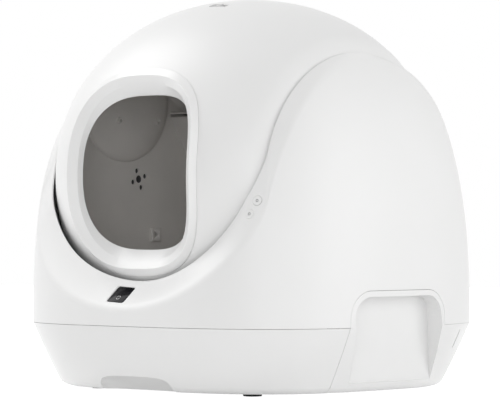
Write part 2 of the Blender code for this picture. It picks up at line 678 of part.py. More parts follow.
def make_housing(look, electronic, black):
    """The white dome, with the display, the buttons and their boards."""
    columns = collar_columns()
    loops = [[edge for edge, fold in columns], [fold for edge, fold in columns]]
    foot_z = SEAM_Z + SEAT_GAP
    for share in DOME_ROW_SHARES:
        loop = []
        for edge, fold in columns:
            turn = math.atan2(fold.y, fold.x)
            z = lerp(fold.z, foot_z, share)
            radius = plan_radius(turn, z)
            loop.append((radius * math.cos(turn), radius * math.sin(turn), z))
        loops.append(loop)
    shape = skin_loops(loops)
    caps = [face for face in shape.faces if len(face.verts) > 4]
    bmesh.ops.delete(shape, geom=caps, context="FACES_ONLY")
    housing = add_piece("housing_shell", shape, look)
    wall = housing.modifiers.new("wall", "SOLIDIFY")
    wall.thickness = HOUSING_WALL
    wall.offset = -1.0

    reach = PLAN_HALF_WIDTH + OVERRUN
    outline = [(-reach, y, z) for y, z in grip_outline(GRIP_GAP, SEAM_Z - OVERRUN)]
    shape_by(housing, add_cutter("grip_way", extrude_outline(outline, (2 * reach, 0, 0))))

    edge, fold = bend_points(WINDOW_TURN, -1)
    across_share = 1 - WINDOW_FROM_FOLD / (edge - fold).length
    frame = add_empty("display_frame")
    frame.matrix_world = band_frame(WINDOW_TURN, across_share)
    half = WINDOW_SIZE / 2
    hole = half + SEAT_GAP
    shape_by(housing, add_cutter("window_way", box((-hole, -hole, -OVERRUN), (hole, hole, OVERRUN)), frame))
    add_piece("display_window", box((-half, -half, -WINDOW_THICKNESS), (half, half, 0)), black, frame)
    half = DISPLAY_BOARD_SIZE / 2
    top = -WINDOW_THICKNESS - SEAT_GAP
    board = box((-half, -half, top - BOARD_THICKNESS), (half, half, top))
    add_piece("display_board", board, electronic, frame)

    for name, turn in (("button_upper", BUTTON_UPPER_TURN), ("button_lower", BUTTON_LOWER_TURN)):
        frame = add_empty(name + "_frame")
        frame.matrix_world = band_frame(turn, BUTTON_ACROSS_SHARE)
        way = cylinder(BUTTON_RADIUS + SEAT_GAP, -OVERRUN, OVERRUN)
        shape_by(housing, add_cutter(name + "_way", way, frame))
        add_piece(name, button_shape(), look, frame)
    make_button_board(electronic)


def button_shape():
    """A round button with a collar behind the housing's wall that holds it in."""
    under = -HOUSING_WALL - BUTTON_FLANGE_SPACE
    profile = [(0.0, BUTTON_PROUD), (BUTTON_RADIUS, BUTTON_PROUD), (BUTTON_RADIUS, under),
               (BUTTON_FLANGE_RADIUS, under), (BUTTON_FLANGE_RADIUS, under - BUTTON_FLANGE),
               (BUTTON_RADIUS / 2, under - BUTTON_FLANGE), (BUTTON_RADIUS / 2, -BUTTON_DEPTH),
               (0.0, -BUTTON_DEPTH)]
    shape = bmesh.new()
    verts = [shape.verts.new((radius, 0, z)) for radius, z in profile]
    edges = [shape.edges.new((a, b)) for a, b in zip(verts, verts[1:])]
    bmesh.ops.spin(shape, geom=verts + edges, cent=(0, 0, 0), axis=(0, 0, 1),
                   angle=math.tau, steps=ROUND_STEPS, use_merge=True)
    bmesh.ops.remove_doubles(shape, verts=shape.verts, dist=SEAT_GAP / 10)
    bmesh.ops.recalc_face_normals(shape, faces=shape.faces)
    return shape


def make_button_board(look):
    """The board behind both buttons, on two posts against the housing's wall."""
    frame = add_empty("button_board_frame")
    middle = (BUTTON_UPPER_TURN + BUTTON_LOWER_TURN) / 2
    frame.matrix_world = band_frame(middle, BUTTON_ACROSS_SHARE)
    places = [band_frame(turn, BUTTON_ACROSS_SHARE).translation
              for turn in (BUTTON_UPPER_TURN, BUTTON_LOWER_TURN)]
    length = (places[0] - places[1]).length / 2
    length += BUTTON_FLANGE_RADIUS + BUTTON_BOARD_GAP + BUTTON_BOARD_POST
    top = -BUTTON_DEPTH - BUTTON_TRAVEL - 2 * SEAT_GAP
    under = top - BOARD_THICKNESS
    post_top = -HOUSING_WALL - BUTTON_POST_SPACE
    outline = [(-length, under), (length, under), (length, post_top),
               (length - BUTTON_BOARD_POST, post_top), (length - BUTTON_BOARD_POST, top),
               (BUTTON_BOARD_POST - length, top), (BUTTON_BOARD_POST - length, post_top),
               (-length, post_top)]
    points = [(x, -BUTTON_BOARD_WIDTH / 2, z) for x, z in outline]
    add_piece("button_board", extrude_outline(points, (0, BUTTON_BOARD_WIDTH, 0)), look, frame)


def tray_loops(inset, low_z, high_z):
    """Loops of the tray's outer form from a low to a high place, the bottom edge rounded."""
    loops = []
    for step in range(TRAY_EDGE_STEPS + 1):
        turn = math.pi / 2 * step / TRAY_EDGE_STEPS
        inward = TRAY_EDGE_RADIUS * (1 - math.sin(turn))
        loops.append(plan_loop(low_z + TRAY_EDGE_RADIUS * (1 - math.cos(turn)), inset + inward))
    for share in TRAY_ROW_SHARES:
        loops.append(plan_loop(lerp(low_z + TRAY_EDGE_RADIUS, SEAM_Z, share), inset))
    if high_z > SEAM_Z:
        loops.append(plan_loop(SEAM_Z, inset))
    loops.append(plan_loop(high_z, inset))
    return loops


def make_tray(look, rubber):
    """The tray with its two hand grips, and the feet."""
    top_z = GRIP_TOP_Z + OVERRUN / 2
    tray = add_piece("base_pan", skin_loops(tray_loops(0, TRAY_BOTTOM_Z, top_z)), look)
    reach = PLAN_HALF_WIDTH + OVERRUN
    depth = PLAN_HALF_DEPTH + OVERRUN
    above = top_z + OVERRUN
    outline = [(-reach, -depth, SEAM_Z)]
    outline += [(-reach, y, z) for y, z in grip_outline()]
    outline += [(-reach, depth, SEAM_Z), (-reach, depth, above), (-reach, -depth, above)]
    shape_by(tray, add_cutter("above_seam", extrude_outline(outline, (2 * reach, 0, 0))))

    floor_z = TRAY_BOTTOM_Z + TRAY_FLOOR
    hollow = add_cutter("tray_hollow", skin_loops(tray_loops(TRAY_WALL, floor_z, top_z + OVERRUN)))
    for side, name in ((1, "right"), (-1, "left")):
        shape_by(hollow, add_cutter("pocket_wall_" + name, pocket(TRAY_WALL, side)))
    shape_by(tray, hollow)
    for side, name in ((1, "right"), (-1, "left")):
        shape_by(tray, add_cutter("pocket_" + name, pocket(0, side)))
        shape_by(tray, add_cutter("corner_slot_" + name, corner_slot(side)))

    front = box((-reach, -depth, -OVERRUN), (reach, SPLIT_Y, SEAM_Z + OVERRUN))
    front = add_cutter("drawer_space", front)
    shape_by(front, add_cutter("tongue", tongue_shape(floor_z)))
    shape_by(tray, front)
    inlet = cylinder(INLET_RADIUS + SEAT_GAP, -OVERRUN, OVERRUN)
    bmesh.ops.rotate(inlet, cent=(0, 0, 0), matrix=Matrix.Rotation(math.pi / 2, 3, "X"), verts=inlet.verts)
    shape_by(tray, add_cutter("inlet_way", inlet, location=(INLET_X, inlet_y(), INLET_Z)))

    foot = cylinder(FOOT_RADIUS, 0, TRAY_BOTTOM_Z - SEAT_GAP)
    rim = [edge for edge in foot.edges if all(vert.co.z < FOOT_EDGE for vert in edge.verts)]
    bmesh.ops.bevel(foot, geom=rim, offset=FOOT_EDGE, segments=1, profile=0.5, affect="EDGES", material=-1)
    first = add_piece("foot_front_left", foot, rubber, location=(-FOOT_X, -FOOT_Y, 0))
    places = (("foot_front_right", FOOT_X, -FOOT_Y), ("foot_rear_left", -FOOT_X, FOOT_Y),
              ("foot_rear_right", FOOT_X, FOOT_Y))
    for name, x, y in places:
        copy = bpy.data.objects.new(name, first.data)
        bpy.context.collection.objects.link(copy)
        copy.location = (x, y, 0)


def tongue_shape(floor_z):
    """The part of the tray's floor that runs forward under the drawer."""
    loops = []
    for z in (TRAY_BOTTOM_Z, floor_z):
        loop = []
        for step in range(TRAY_COLUMNS // 2):
            angle = math.tau * step / (TRAY_COLUMNS // 2)
            x = TONGUE_HALF_WIDTH * signed_power(math.cos(angle), 2 / PLAN_POWER)
            y = TONGUE_HALF_DEPTH * signed_power(math.sin(angle), 2 / PLAN_POWER)
            loop.append((x, y, z))
        loops.append(loop)
    return skin_loops(loops)


def corner_slot(side):
    """A narrow slot through the tray's rear corner."""
    half = SLOT_WIDTH / 2
    shape = box((-SLOT_LENGTH / 2, -half, SLOT_FOOT_Z), (SLOT_LENGTH / 2, half, SLOT_TOP_Z))
    turn = Matrix.Rotation(SLOT_TURN, 3, "Z")
    bmesh.ops.rotate(shape, cent=(0, 0, 0), matrix=turn, verts=shape.verts)
    reach = plan_radius(SLOT_TURN, (SLOT_TOP_Z + SLOT_FOOT_Z) / 2)
    bmesh.ops.translate(shape, verts=shape.verts, vec=turn @ Vector((reach, 0, 0)))
    return on_side(shape, side)


def inlet_y():
    """Where the power inlet meets the tray's rear wall."""
    scale = plan_scale(INLET_Z)
    share = INLET_X / (PLAN_HALF_WIDTH * scale)
    return PLAN_HALF_DEPTH * scale * (1 - share ** PLAN_POWER) ** (1 / PLAN_POWER)


def entry_loop(reach, sweep, radius):
    """A rounded-rectangle loop wrapped on the drum; radius is a length or a function of X."""
    loop = []
    for step in range(ENTRY_POINTS):
        angle = math.tau * step / ENTRY_POINTS
        x = reach * signed_power(math.cos(angle), 2 / ENTRY_POWER)
        turn = ENTRY_TURN + sweep * signed_power(math.sin(angle), 2 / ENTRY_POWER)
        here = radius(x) if callable(radius) else radius
        loop.append((x, -here * math.cos(turn), here * math.sin(turn)))
    return loop


def crown_radius(x):
    """Radius of the entry ring's crest."""
    return CROWN_RADIUS - CROWN_FALL * (x / CREASE_REACH) ** 2


def entry_way(reach, sweep, gap):
    """Cutter for a hole that clears the entry ring, past this reach and sweep."""
    reach += gap
    sweep += gap / DRUM_RADIUS
    inner = SLEEVE_RADIUS - OVERRUN
    outer = (DRUM_RADIUS + OVERRUN) / math.cos(sweep + ENTRY_TURN)
    return skin_loops([entry_loop(reach, sweep, inner), entry_loop(reach, sweep, outer)])


def entry_ring():
    """The raised ring round the entry, with its sleeve through the drum's walls."""
    wall_sweep = SLEEVE_WALL / DRUM_RADIUS

    def seat(x):
        return drum_radius(x) + RING_SEAT

    return skin_loops([
        entry_loop(FLANGE_REACH, FLANGE_SWEEP, lambda x: seat(x) + FLANGE_EDGE),
        entry_loop(CREASE_REACH, CREASE_SWEEP, crown_radius),
        entry_loop(LIP_REACH, LIP_SWEEP, lambda x: crown_radius(x) - LIP_DEPTH),
        entry_loop(SLEEVE_REACH, SLEEVE_SWEEP, SLEEVE_RADIUS),
        entry_loop(SLEEVE_REACH + SLEEVE_WALL, SLEEVE_SWEEP + wall_sweep, SLEEVE_RADIUS),
        entry_loop(LIP_REACH + SLEEVE_WALL, LIP_SWEEP + wall_sweep,
                   lambda x: crown_radius(x) - LIP_DEPTH - LIP_UNDER),
        entry_loop(HOLE_REACH, HOLE_SWEEP, seat),
        entry_loop(FLANGE_REACH, FLANGE_SWEEP, seat),
    ], ring=True)


def liner_radius(x):
    """Radius of the liner's outside."""
    return drum_radius(x) - LINER_SPACE


def shell_profile(half_width, radius, wall, shares):
    """Closed profile of an open barrel: its outside, then its inside."""
    steps = [-share for share in reversed(shares)] + [0.0] + list(shares)
    outer = [(half_width * share, radius(half_width * share)) for share in steps]
    inner = [(x, r - wall) for x, r in reversed(outer)]
    return outer + inner


def dish_profile():
    """Closed profile of the chamber's right end wall."""
    rim_x = LINER_HALF_WIDTH + SEAT_GAP
    rim = drum_radius(rim_x) - DISH_RIM_SPACE
    shoulder = drum_radius(DRUM_HALF_WIDTH) - DRUM_WALL - 3 * SLIDE_GAP
    return [(rim_x, rim), (DISH_SHOULDER_X, shoulder), (DISH_FLAT_X, DISH_FLAT_RADIUS),
            (DISH_FLAT_X, HUB_BORE), (DISH_FLAT_X - DISH_WALL, HUB_BORE),
            (DISH_FLAT_X - DISH_WALL, DISH_FLAT_RADIUS - DISH_WALL / 2),
            (DISH_SHOULDER_X - DISH_WALL / 2, shoulder - DISH_WALL), (rim_x, rim - DISH_WALL)]


def cavity_shape():
    """The space inside the chamber, drawn in by the seat gap, for trimming what fits it."""
    places = [LINER_HALF_WIDTH * share for share in (0.0,) + LINER_SHARES]
    right = [(x, liner_radius(x) - LINER_WALL - SEAT_GAP) for x in places]
    rim_x, rim = dish_profile()[-1]
    right.append((rim_x - SEAT_GAP, rim - 2 * SEAT_GAP))
    shoulder_x, shoulder = dish_profile()[-2]
    flat_x, flat = dish_profile()[-3]
    right += [(shoulder_x - SEAT_GAP, shoulder - 2 * SEAT_GAP), (flat_x - SEAT_GAP, flat - 2 * SEAT_GAP)]
    right.append((flat_x - SEAT_GAP, 0.0))
    left = [(-x, radius) for x, radius in reversed(right[1:])]
    shape = bmesh.new()
    verts = [shape.verts.new((x, 0, radius)) for x, radius in left + right]
    edges = [shape.edges.new((a, b)) for a, b in zip(verts, verts[1:])]
    bmesh.ops.spin(shape, geom=verts + edges, cent=(0, 0, 0), axis=(1, 0, 0),
                   angle=math.tau, steps=LINER_STEPS, use_merge=True)
    bmesh.ops.remove_doubles(shape, verts=shape.verts, dist=SEAT_GAP / 10)
    bmesh.ops.recalc_face_normals(shape, faces=shape.faces)
    return shape


def make_drum(axis, white, dark, grey):
    """The drum's barrel, its chamber with the fittings, and the entry ring."""
    profile = shell_profile(DRUM_HALF_WIDTH, drum_radius, DRUM_WALL, DRUM_STATION_SHARES)
    shell = add_piece("drum_shell", turn_profile(profile, DRUM_STEPS), white, axis)
    profile = shell_profile(LINER_HALF_WIDTH, liner_radius, LINER_WALL, LINER_SHARES)
    liner = add_piece("inner_liner", turn_profile(profile, LINER_STEPS), dark, axis)
    way = entry_way(HOLE_REACH, HOLE_SWEEP, RING_HOLE_GAP)
    shape_by(shell, add_cutter("shell_way", way, axis))
    way = entry_way(LIP_REACH + SLEEVE_WALL, LIP_SWEEP + SLEEVE_WALL / DRUM_RADIUS, RING_HOLE_GAP)
    shape_by(liner, add_cutter("liner_way", way, axis))
    add_piece("entry_bezel", entry_ring(), white, axis)

    holes = []
    for index in range(HUB_HOLES):
        turn = HUB_HOLE_TURN + math.tau * index / HUB_HOLES
        holes.append((HUB_HOLE_CIRCLE * math.cos(turn), HUB_HOLE_CIRCLE * math.sin(turn)))
    for side, name in ((1, "right"), (-1, "left")):
        dish = on_side(turn_profile(dish_profile(), LINER_STEPS), side)
        dish = add_piece("drum_end_" + name, dish, dark, axis)
        start = DISH_FLAT_X + SEAT_GAP
        hub = [(start, HUB_FLANGE_RADIUS), (start + HUB_FLANGE, HUB_FLANGE_RADIUS),
               (start + HUB_FLANGE, SHAFT_RADIUS), (SHAFT_END_X, SHAFT_RADIUS), (SHAFT_END_X, HUB_BORE),
               (start, HUB_BORE)]
        hub = add_piece("hub_" + name, on_side(turn_profile(hub, ROUND_STEPS), side), grey, axis)
        for index, (y, z) in enumerate(holes):
            hole = cylinder(HUB_HOLE, DISH_FLAT_X - OVERRUN, DISH_FLAT_X + OVERRUN, HUB_HOLE_STEPS)
            hole = on_side(lie_along_x(hole, y, z), side)
            way = add_cutter("%s_screw_way_%d" % (name, index + 1), hole, axis)
            shape_by(dish, way)
            shape_by(hub, way)


def sieve_reach(x):
    """Distance down the sieve from its upper edge to the chamber's wall."""
    wall = liner_radius(x) - LINER_WALL
    along = PANEL_CORNER_Y * math.cos(SIEVE_LEAN) - PANEL_CORNER_Z * math.sin(SIEVE_LEAN)
    corner = math.hypot(PANEL_CORNER_Y, PANEL_CORNER_Z)
    return math.sqrt(along ** 2 + wall ** 2 - corner ** 2) - along


def make_fittings(axis, dark):
    """The filter dome, the storage panel, the sieve and the clip, trimmed to the chamber."""
    cavity = add_cutter("cavity", cavity_shape(), axis)
    wall_x = DISH_WALL - DISH_FLAT_X

    dome = bmesh.new()
    bmesh.ops.create_uvsphere(dome, u_segments=FILTER_COLUMNS, v_segments=FILTER_ROWS, radius=1.0)
    bmesh.ops.rotate(dome, cent=(0, 0, 0), matrix=Matrix.Rotation(math.pi / 2, 3, "Y"), verts=dome.verts)
    bmesh.ops.scale(dome, vec=(FILTER_BULGE, FILTER_RADIUS, FILTER_RADIUS), verts=dome.verts)
    bmesh.ops.translate(dome, verts=dome.verts, vec=(wall_x, FILTER_Y, FILTER_Z))
    dome = add_piece("filter_dome", dome, dark, axis)
    shape_by(dome, cavity, "INTERSECT")
    for index, offset in enumerate(FILTER_BOSS_OFFSETS):
        share = math.hypot(offset, FILTER_BOSS_DROP) / FILTER_RADIUS
        top = wall_x + FILTER_BULGE * math.sqrt(1 - share ** 2)
        boss = lie_along_x(cylinder(FILTER_BOSS_RADIUS, top - FILTER_BOSS_RADIUS, top + FILTER_BOSS_PROUD),
                           FILTER_Y + offset, FILTER_Z - FILTER_BOSS_DROP)
        shape_by(dome, add_cutter("filter_boss_%d" % (index + 1), boss, axis), "UNION")

    front = PANEL_CORNER_Y
    reach = DRUM_RADIUS
    storage = box((-DISH_FLAT_X, front, PANEL_CORNER_Z), (DISH_FLAT_X, reach, PANEL_CORNER_Z + PANEL_WALL))
    storage = add_piece("storage_panel", storage, dark, axis)
    shape_by(storage, cavity, "INTERSECT")

    corner = (0, PANEL_CORNER_Y, PANEL_CORNER_Z - SLIDE_GAP)
    frame = add_empty("sieve_frame", axis, corner, (-SIEVE_LEAN, 0, 0))
    sieve = box((-DISH_FLAT_X, SIEVE_END_GAP, -PANEL_WALL), (DISH_FLAT_X, reach + OVERRUN, 0))
    sieve = add_piece("sieve", sieve, dark, frame)
    shape_by(sieve, cavity, "INTERSECT")
    slots = []
    half = SIEVE_SLOT_WIDTH / 2
    end = sieve_reach((SIEVE_SLOTS - 1) / 2 * SIEVE_PITCH + half) - SIEVE_RIM
    for index in range(SIEVE_SLOTS):
        x = (index - (SIEVE_SLOTS - 1) / 2) * SIEVE_PITCH
        slots.append(((x - half, SIEVE_SLOT_START, -OVERRUN), (x + half, end, OVERRUN)))
    shape_by(sieve, add_cutter("sieve_slots", boxes(slots), frame))

    clip_x = wall_x + SEAT_GAP
    low = (clip_x, CLIP_Y - CLIP_WIDTH / 2, CLIP_Z - CLIP_HEIGHT / 2)
    high = (clip_x + CLIP_DEPTH, CLIP_Y + CLIP_WIDTH / 2, CLIP_Z + CLIP_HEIGHT / 2)
    add_piece("wall_clip", box(low, high), dark, axis)


def make_latch(axis, grey, shell):
    """The slider near the top of the drum, with the slot that it moves in."""
    frame = add_empty("latch_slide", axis, (0, 0, 0), (LATCH_TURN, 0, 0))
    half = LATCH_SLOT_WIDTH / 2
    way = box((0, -half, DRUM_RADIUS - OVERRUN / 2), (LATCH_SLOT_LENGTH, half, DRUM_RADIUS + OVERRUN))
    shape_by(shell, add_cutter("latch_way", way, frame))
    low_x = SEAT_GAP
    high_x = LATCH_SLOT_LENGTH - LATCH_TRAVEL - SEAT_GAP
    half -= SEAT_GAP
    plate_top = drum_radius(LATCH_SLOT_LENGTH + LATCH_TRAVEL) - DRUM_WALL - 2 * SLIDE_GAP
    middle = (low_x + high_x) / 2
    thumb = box((low_x, -half, plate_top - LATCH_PLATE / 2), (high_x, half, DRUM_RADIUS + LATCH_PROUD))
    slider = add_piece("drum_latch", thumb, grey, frame)
    half_length = LATCH_PLATE_LENGTH / 2
    half_width = LATCH_PLATE_WIDTH / 2
    plate = box((middle - half_length, -half_width, plate_top - LATCH_PLATE),
                (middle + half_length, half_width, plate_top))
    shape_by(slider, add_cutter("latch_plate", plate, frame), "UNION")
    grooves = []
    top = DRUM_RADIUS + LATCH_PROUD
    for index in range(LATCH_GROOVES):
        x = middle + (index - (LATCH_GROOVES - 1) / 2) * LATCH_GROOVE_PITCH
        grooves.append(((x - LATCH_GROOVE / 2, -LATCH_PLATE_WIDTH, top - LATCH_GROOVE),
                        (x + LATCH_GROOVE / 2, LATCH_PLATE_WIDTH, top + OVERRUN)))
    shape_by(slider, add_cutter("latch_grooves", boxes(grooves), frame))


def involute_outline(teeth, first_turn, flank_shares):
    """Outline of a spur gear in (y, z), with one tooth centred at the first turn."""
    pitch = GEAR_MODULE * teeth / 2
    base = pitch * math.cos(PRESSURE_ANGLE)
    root = pitch - DEDENDUM_SHARE * GEAR_MODULE
    tip = pitch + ADDENDUM_SHARE * GEAR_MODULE
    half_tooth = (math.pi * GEAR_MODULE / 2 - BACKLASH) / 2 / pitch
    start = max(base, root)
    radii = [lerp(start, tip, share) for share in flank_shares]
    if root < base:
        radii = [root] + radii
    pitch_spread = math.tan(PRESSURE_ANGLE) - PRESSURE_ANGLE
    flank = []
    for radius in radii:
        angle = math.acos(min(base / radius, 1))
        flank.append((radius, half_tooth + pitch_spread - (math.tan(angle) - angle)))
    points = []
    for tooth in range(teeth):
        middle = first_turn + math.tau * tooth / teeth
        for radius, spread in flank:
            points.append((radius * math.cos(middle - spread), radius * math.sin(middle - spread)))
        for radius, spread in reversed(flank):
            points.append((radius * math.cos(middle + spread), radius * math.sin(middle + spread)))
    return points


def gear_distance():
    """Distance between the drum's axis and the pinion's."""
    return GEAR_MODULE * (GEAR_TEETH + PINION_TEETH) / 2 + MESH_GAP


def make_drive(axis, grey, metal):
    """Brackets, bearings, the ring gear, and the motor with its pinion."""
    start = DISH_FLAT_X + SEAT_GAP
    half_tooth = math.pi / GEAR_TEETH
    outline = involute_outline(GEAR_TEETH, PINION_TURN + half_tooth, RING_FLANK_SHARES)
    points = [(start, across, up) for across, up in outline]
    ring = add_piece("ring_gear", extrude_outline(points, (GEAR_WIDTH, 0, 0)), grey, axis)
    bore = GEAR_MODULE * GEAR_TEETH / 2 - GEAR_RING
    inside = cylinder(bore, DISH_FLAT_X - OVERRUN, DISH_FLAT_X + OVERRUN, DRUM_STEPS)
    shape_by(ring, add_cutter("ring_gear_inside", lie_along_x(inside), axis))

    distance = gear_distance()
    y = AXIS_Y + distance * math.cos(PINION_TURN)
    z = AXIS_Z + distance * math.sin(PINION_TURN)
    spindle = add_empty("pinion_axis", None, (0, y, z))
    outline = involute_outline(PINION_TEETH, PINION_TURN + math.pi, PINION_FLANK_SHARES)
    points = [(start, across, up) for across, up in outline]
    pinion = add_piece("drive_pinion", extrude_outline(points, (GEAR_WIDTH, 0, 0)), metal, spindle)
    bore = lie_along_x(cylinder(PINION_BORE, DISH_FLAT_X - OVERRUN, DISH_FLAT_X + OVERRUN))
    shape_by(pinion, add_cutter("pinion_bore", bore, spindle))

    inner = BRACKET_X
    outer = BRACKET_X + BRACKET_WALL
    seat = outer + SEAT_GAP
    motor = box((seat, -GEARBOX_DEPTH / 2, -GEARBOX_HEIGHT / 2),
                (seat + GEARBOX_WIDTH, GEARBOX_DEPTH / 2, GEARBOX_HEIGHT / 2))
    motor = add_piece("gearmotor", motor, metal, spindle)
    shaft = lie_along_x(cylinder(MOTOR_SHAFT_RADIUS, start, seat + GEARBOX_WIDTH / 2))
    shape_by(motor, add_cutter("motor_shaft", shaft, spindle), "UNION")
    can = cylinder(MOTOR_RADIUS, -MOTOR_LENGTH, 0)
    bmesh.ops.rotate(can, cent=(0, 0, 0), matrix=Matrix.Rotation(math.pi / 2, 3, "X"), verts=can.verts)
    can_at = (seat + GEARBOX_WIDTH / 2, 0, -MOTOR_DROP)
    shape_by(motor, add_cutter("motor_can", can, spindle, can_at), "UNION")

    floor_z = TRAY_BOTTOM_Z + TRAY_FLOOR + SEAT_GAP
    room = tray_loops(TRAY_WALL + SEAT_GAP, floor_z, AXIS_Z + DRUM_RADIUS / 2)
    room = add_cutter("tray_room", skin_loops(room))
    for side, name in ((1, "drive_bracket"), (-1, "idler_bracket")):
        outline = bracket_outline(floor_z, side > 0, y, z)
        points = [(inner, across, up) for across, up in outline]
        plate = add_piece(name, on_side(extrude_outline(points, (BRACKET_WALL, 0, 0)), side), grey)
        way = cylinder(BEARING_RADIUS + SEAT_GAP, inner - OVERRUN, outer + OVERRUN)
        shape_by(plate, add_cutter(name + "_bore", on_side(lie_along_x(way, AXIS_Y, AXIS_Z), side)))
        if side > 0:
            way = cylinder(MOTOR_SHAFT_RADIUS + SEAT_GAP, inner - OVERRUN, outer + OVERRUN)
            shape_by(plate, add_cutter("motor_shaft_way", lie_along_x(way, y, z)))
        shape_by(plate, room, "INTERSECT")
    middle = (inner + outer) / 2
    race = [(middle - BEARING_WIDTH / 2, BEARING_RADIUS), (middle + BEARING_WIDTH / 2, BEARING_RADIUS),
            (middle + BEARING_WIDTH / 2, SHAFT_RADIUS + SEAT_GAP),
            (middle - BEARING_WIDTH / 2, SHAFT_RADIUS + SEAT_GAP)]
    for side, name in ((1, "bearing_right"), (-1, "bearing_left")):
        bearing = on_side(turn_profile(race, ROUND_STEPS), side)
        add_piece(name, bearing, metal, None, (0, AXIS_Y, AXIS_Z))


def bracket_outline(floor_z, drives, pinion_y, pinion_z):
    """A bracket seen from the side: a broad foot, a waist and a round top at the bearing."""
    points = [(AXIS_Y - BRACKET_FOOT_HALF_DEPTH, floor_z), (AXIS_Y + BRACKET_FOOT_HALF_DEPTH, floor_z)]
    if drives:
        points.append((pinion_y + GEARBOX_DEPTH / 2, BRACKET_WAIST_Z))
        points.append((pinion_y + GEARBOX_DEPTH / 2, pinion_z + GEARBOX_HEIGHT / 2))
    else:
        points.append((AXIS_Y + BRACKET_WAIST_HALF_DEPTH, BRACKET_WAIST_Z))
    for step in range(CORNER_STEPS * 2 + 1):
        angle = math.pi * step / (CORNER_STEPS * 2)
        points.append((AXIS_Y + BRACKET_TOP_RADIUS * math.cos(angle),
                       AXIS_Z + BRACKET_TOP_RADIUS * math.sin(angle)))
    points.append((AXIS_Y - BRACKET_WAIST_HALF_DEPTH, BRACKET_WAIST_Z))
    return points


def notch_shape(grow):
    """The scoop for the fingers under the drawer's front, as a cutter's shape."""
    loops = []
    for share in NOTCH_SHARES:
        size = (1 - abs(share) ** NOTCH_POWER) ** (1 / NOTCH_POWER)
        radius = NOTCH_RADIUS * size + grow
        x = share * (NOTCH_HALF_WIDTH + grow)
        loop = []
        for step in range(ROUND_STEPS):
            angle = math.tau * step / ROUND_STEPS
            loop.append((x, NOTCH_Y + radius * math.cos(angle), NOTCH_Z + radius * math.sin(angle)))
        loops.append(loop)
    return skin_loops(loops)


def bin_ends():
    """Where the bin begins and ends along Y: its lower corners clear the tray."""
    corner = dome_depth(BIN_HALF_WIDTH, TRAY_BOTTOM_Z + TRAY_FLOOR + BIN_FLOOR_GAP)
    return BIN_SPACE_FRONT - corner, corner - BIN_SPACE_REAR


def make_drawer(slide, white, dark, grey):
    """The drawer: its wrap-round front, the bin and the bag's ring."""
    bin_front, bin_rear = bin_ends()
    top_z = SEAM_Z - SEAM_GAP
    loops = tray_loops(0, TRAY_BOTTOM_Z, SEAM_Z)
    loops[-1] = plan_loop(top_z)
    front = add_piece("drawer_front", skin_loops(loops), white, slide)
    inner = [plan_loop(TRAY_BOTTOM_Z - OVERRUN, TRAY_WALL + TRAY_EDGE_RADIUS)]
    inner += tray_loops(TRAY_WALL, TRAY_BOTTOM_Z, SEAM_Z)
    inner[-1] = plan_loop(SEAM_Z + OVERRUN, TRAY_WALL)
    hollow = add_cutter("drawer_hollow", skin_loops(inner), slide)
    shape_by(hollow, add_cutter("notch_wall", notch_shape(TRAY_WALL), slide))
    shape_by(front, hollow)
    shape_by(front, add_cutter("notch", notch_shape(0), slide))
    reach = PLAN_HALF_WIDTH + OVERRUN
    depth = PLAN_HALF_DEPTH + OVERRUN
    behind = box((-reach, SPLIT_Y - SLIDE_GAP, -OVERRUN), (reach, depth, SEAM_Z + OVERRUN))
    shape_by(front, add_cutter("behind_drawer", behind, slide))
    arms = []
    arm_front = TRAY_WALL / 2 - dome_depth(ARM_X + ARM_WIDTH / 2, ARM_TOP_Z - ARM_HEIGHT)
    for x in (-ARM_X, ARM_X):
        arms.append(((x - ARM_WIDTH / 2, arm_front, ARM_TOP_Z - ARM_HEIGHT),
                     (x + ARM_WIDTH / 2, bin_front - SEAT_GAP, ARM_TOP_Z)))
    shape_by(front, add_cutter("drawer_arms", boxes(arms), slide), "UNION")

    floor_z = TRAY_BOTTOM_Z + TRAY_FLOOR + BIN_FLOOR_GAP
    rim = []
    for share in BIN_TOP_SHARES:
        x = share * BIN_HALF_WIDTH
        rim.append((x, AXIS_Z - edge_radius(x) - BIN_DRUM_GAP))
    outline = [(x, bin_front, z) for x, z in [(BIN_HALF_WIDTH, floor_z), (-BIN_HALF_WIDTH, floor_z)] + rim]
    tub = add_piece("drawer_bin", extrude_outline(outline, (0, bin_rear - bin_front, 0)), dark, slide)
    inside_x = BIN_HALF_WIDTH - BIN_WALL
    space = box((-inside_x, bin_front + BIN_WALL, floor_z + BIN_WALL),
                (inside_x, bin_rear - BIN_WALL, SEAM_Z + OVERRUN))
    shape_by(tub, add_cutter("bin_space", space, slide))

    ring_x = inside_x - SEAT_GAP
    front_y = bin_front + BIN_WALL + SEAT_GAP
    rear_y = bin_rear - BIN_WALL - SEAT_GAP
    hoop = box((-ring_x, front_y, BAG_RING_Z), (ring_x, rear_y, BAG_RING_Z + BAG_RING_HEIGHT))
    hoop = add_piece("bag_ring", hoop, grey, slide)
    space = box((BAG_RING_WIDTH - ring_x, front_y + BAG_RING_WIDTH, BAG_RING_Z - OVERRUN),
                (ring_x - BAG_RING_WIDTH, rear_y - BAG_RING_WIDTH, BAG_RING_Z + OVERRUN))
    shape_by(hoop, add_cutter("bag_space", space, slide))

    rail_z = TRAY_BOTTOM_Z + TRAY_FLOOR + SEAT_GAP
    rail_x = BIN_HALF_WIDTH + SLIDE_GAP
    for side, name in ((1, "rail_right"), (-1, "rail_left")):
        rail = box((rail_x, bin_front + RAIL_FRONT_SPACE, rail_z),
                   (rail_x + RAIL_WIDTH, bin_rear - RAIL_REAR_SPACE, rail_z + RAIL_HEIGHT))
        add_piece(name, on_side(rail, side), grey)


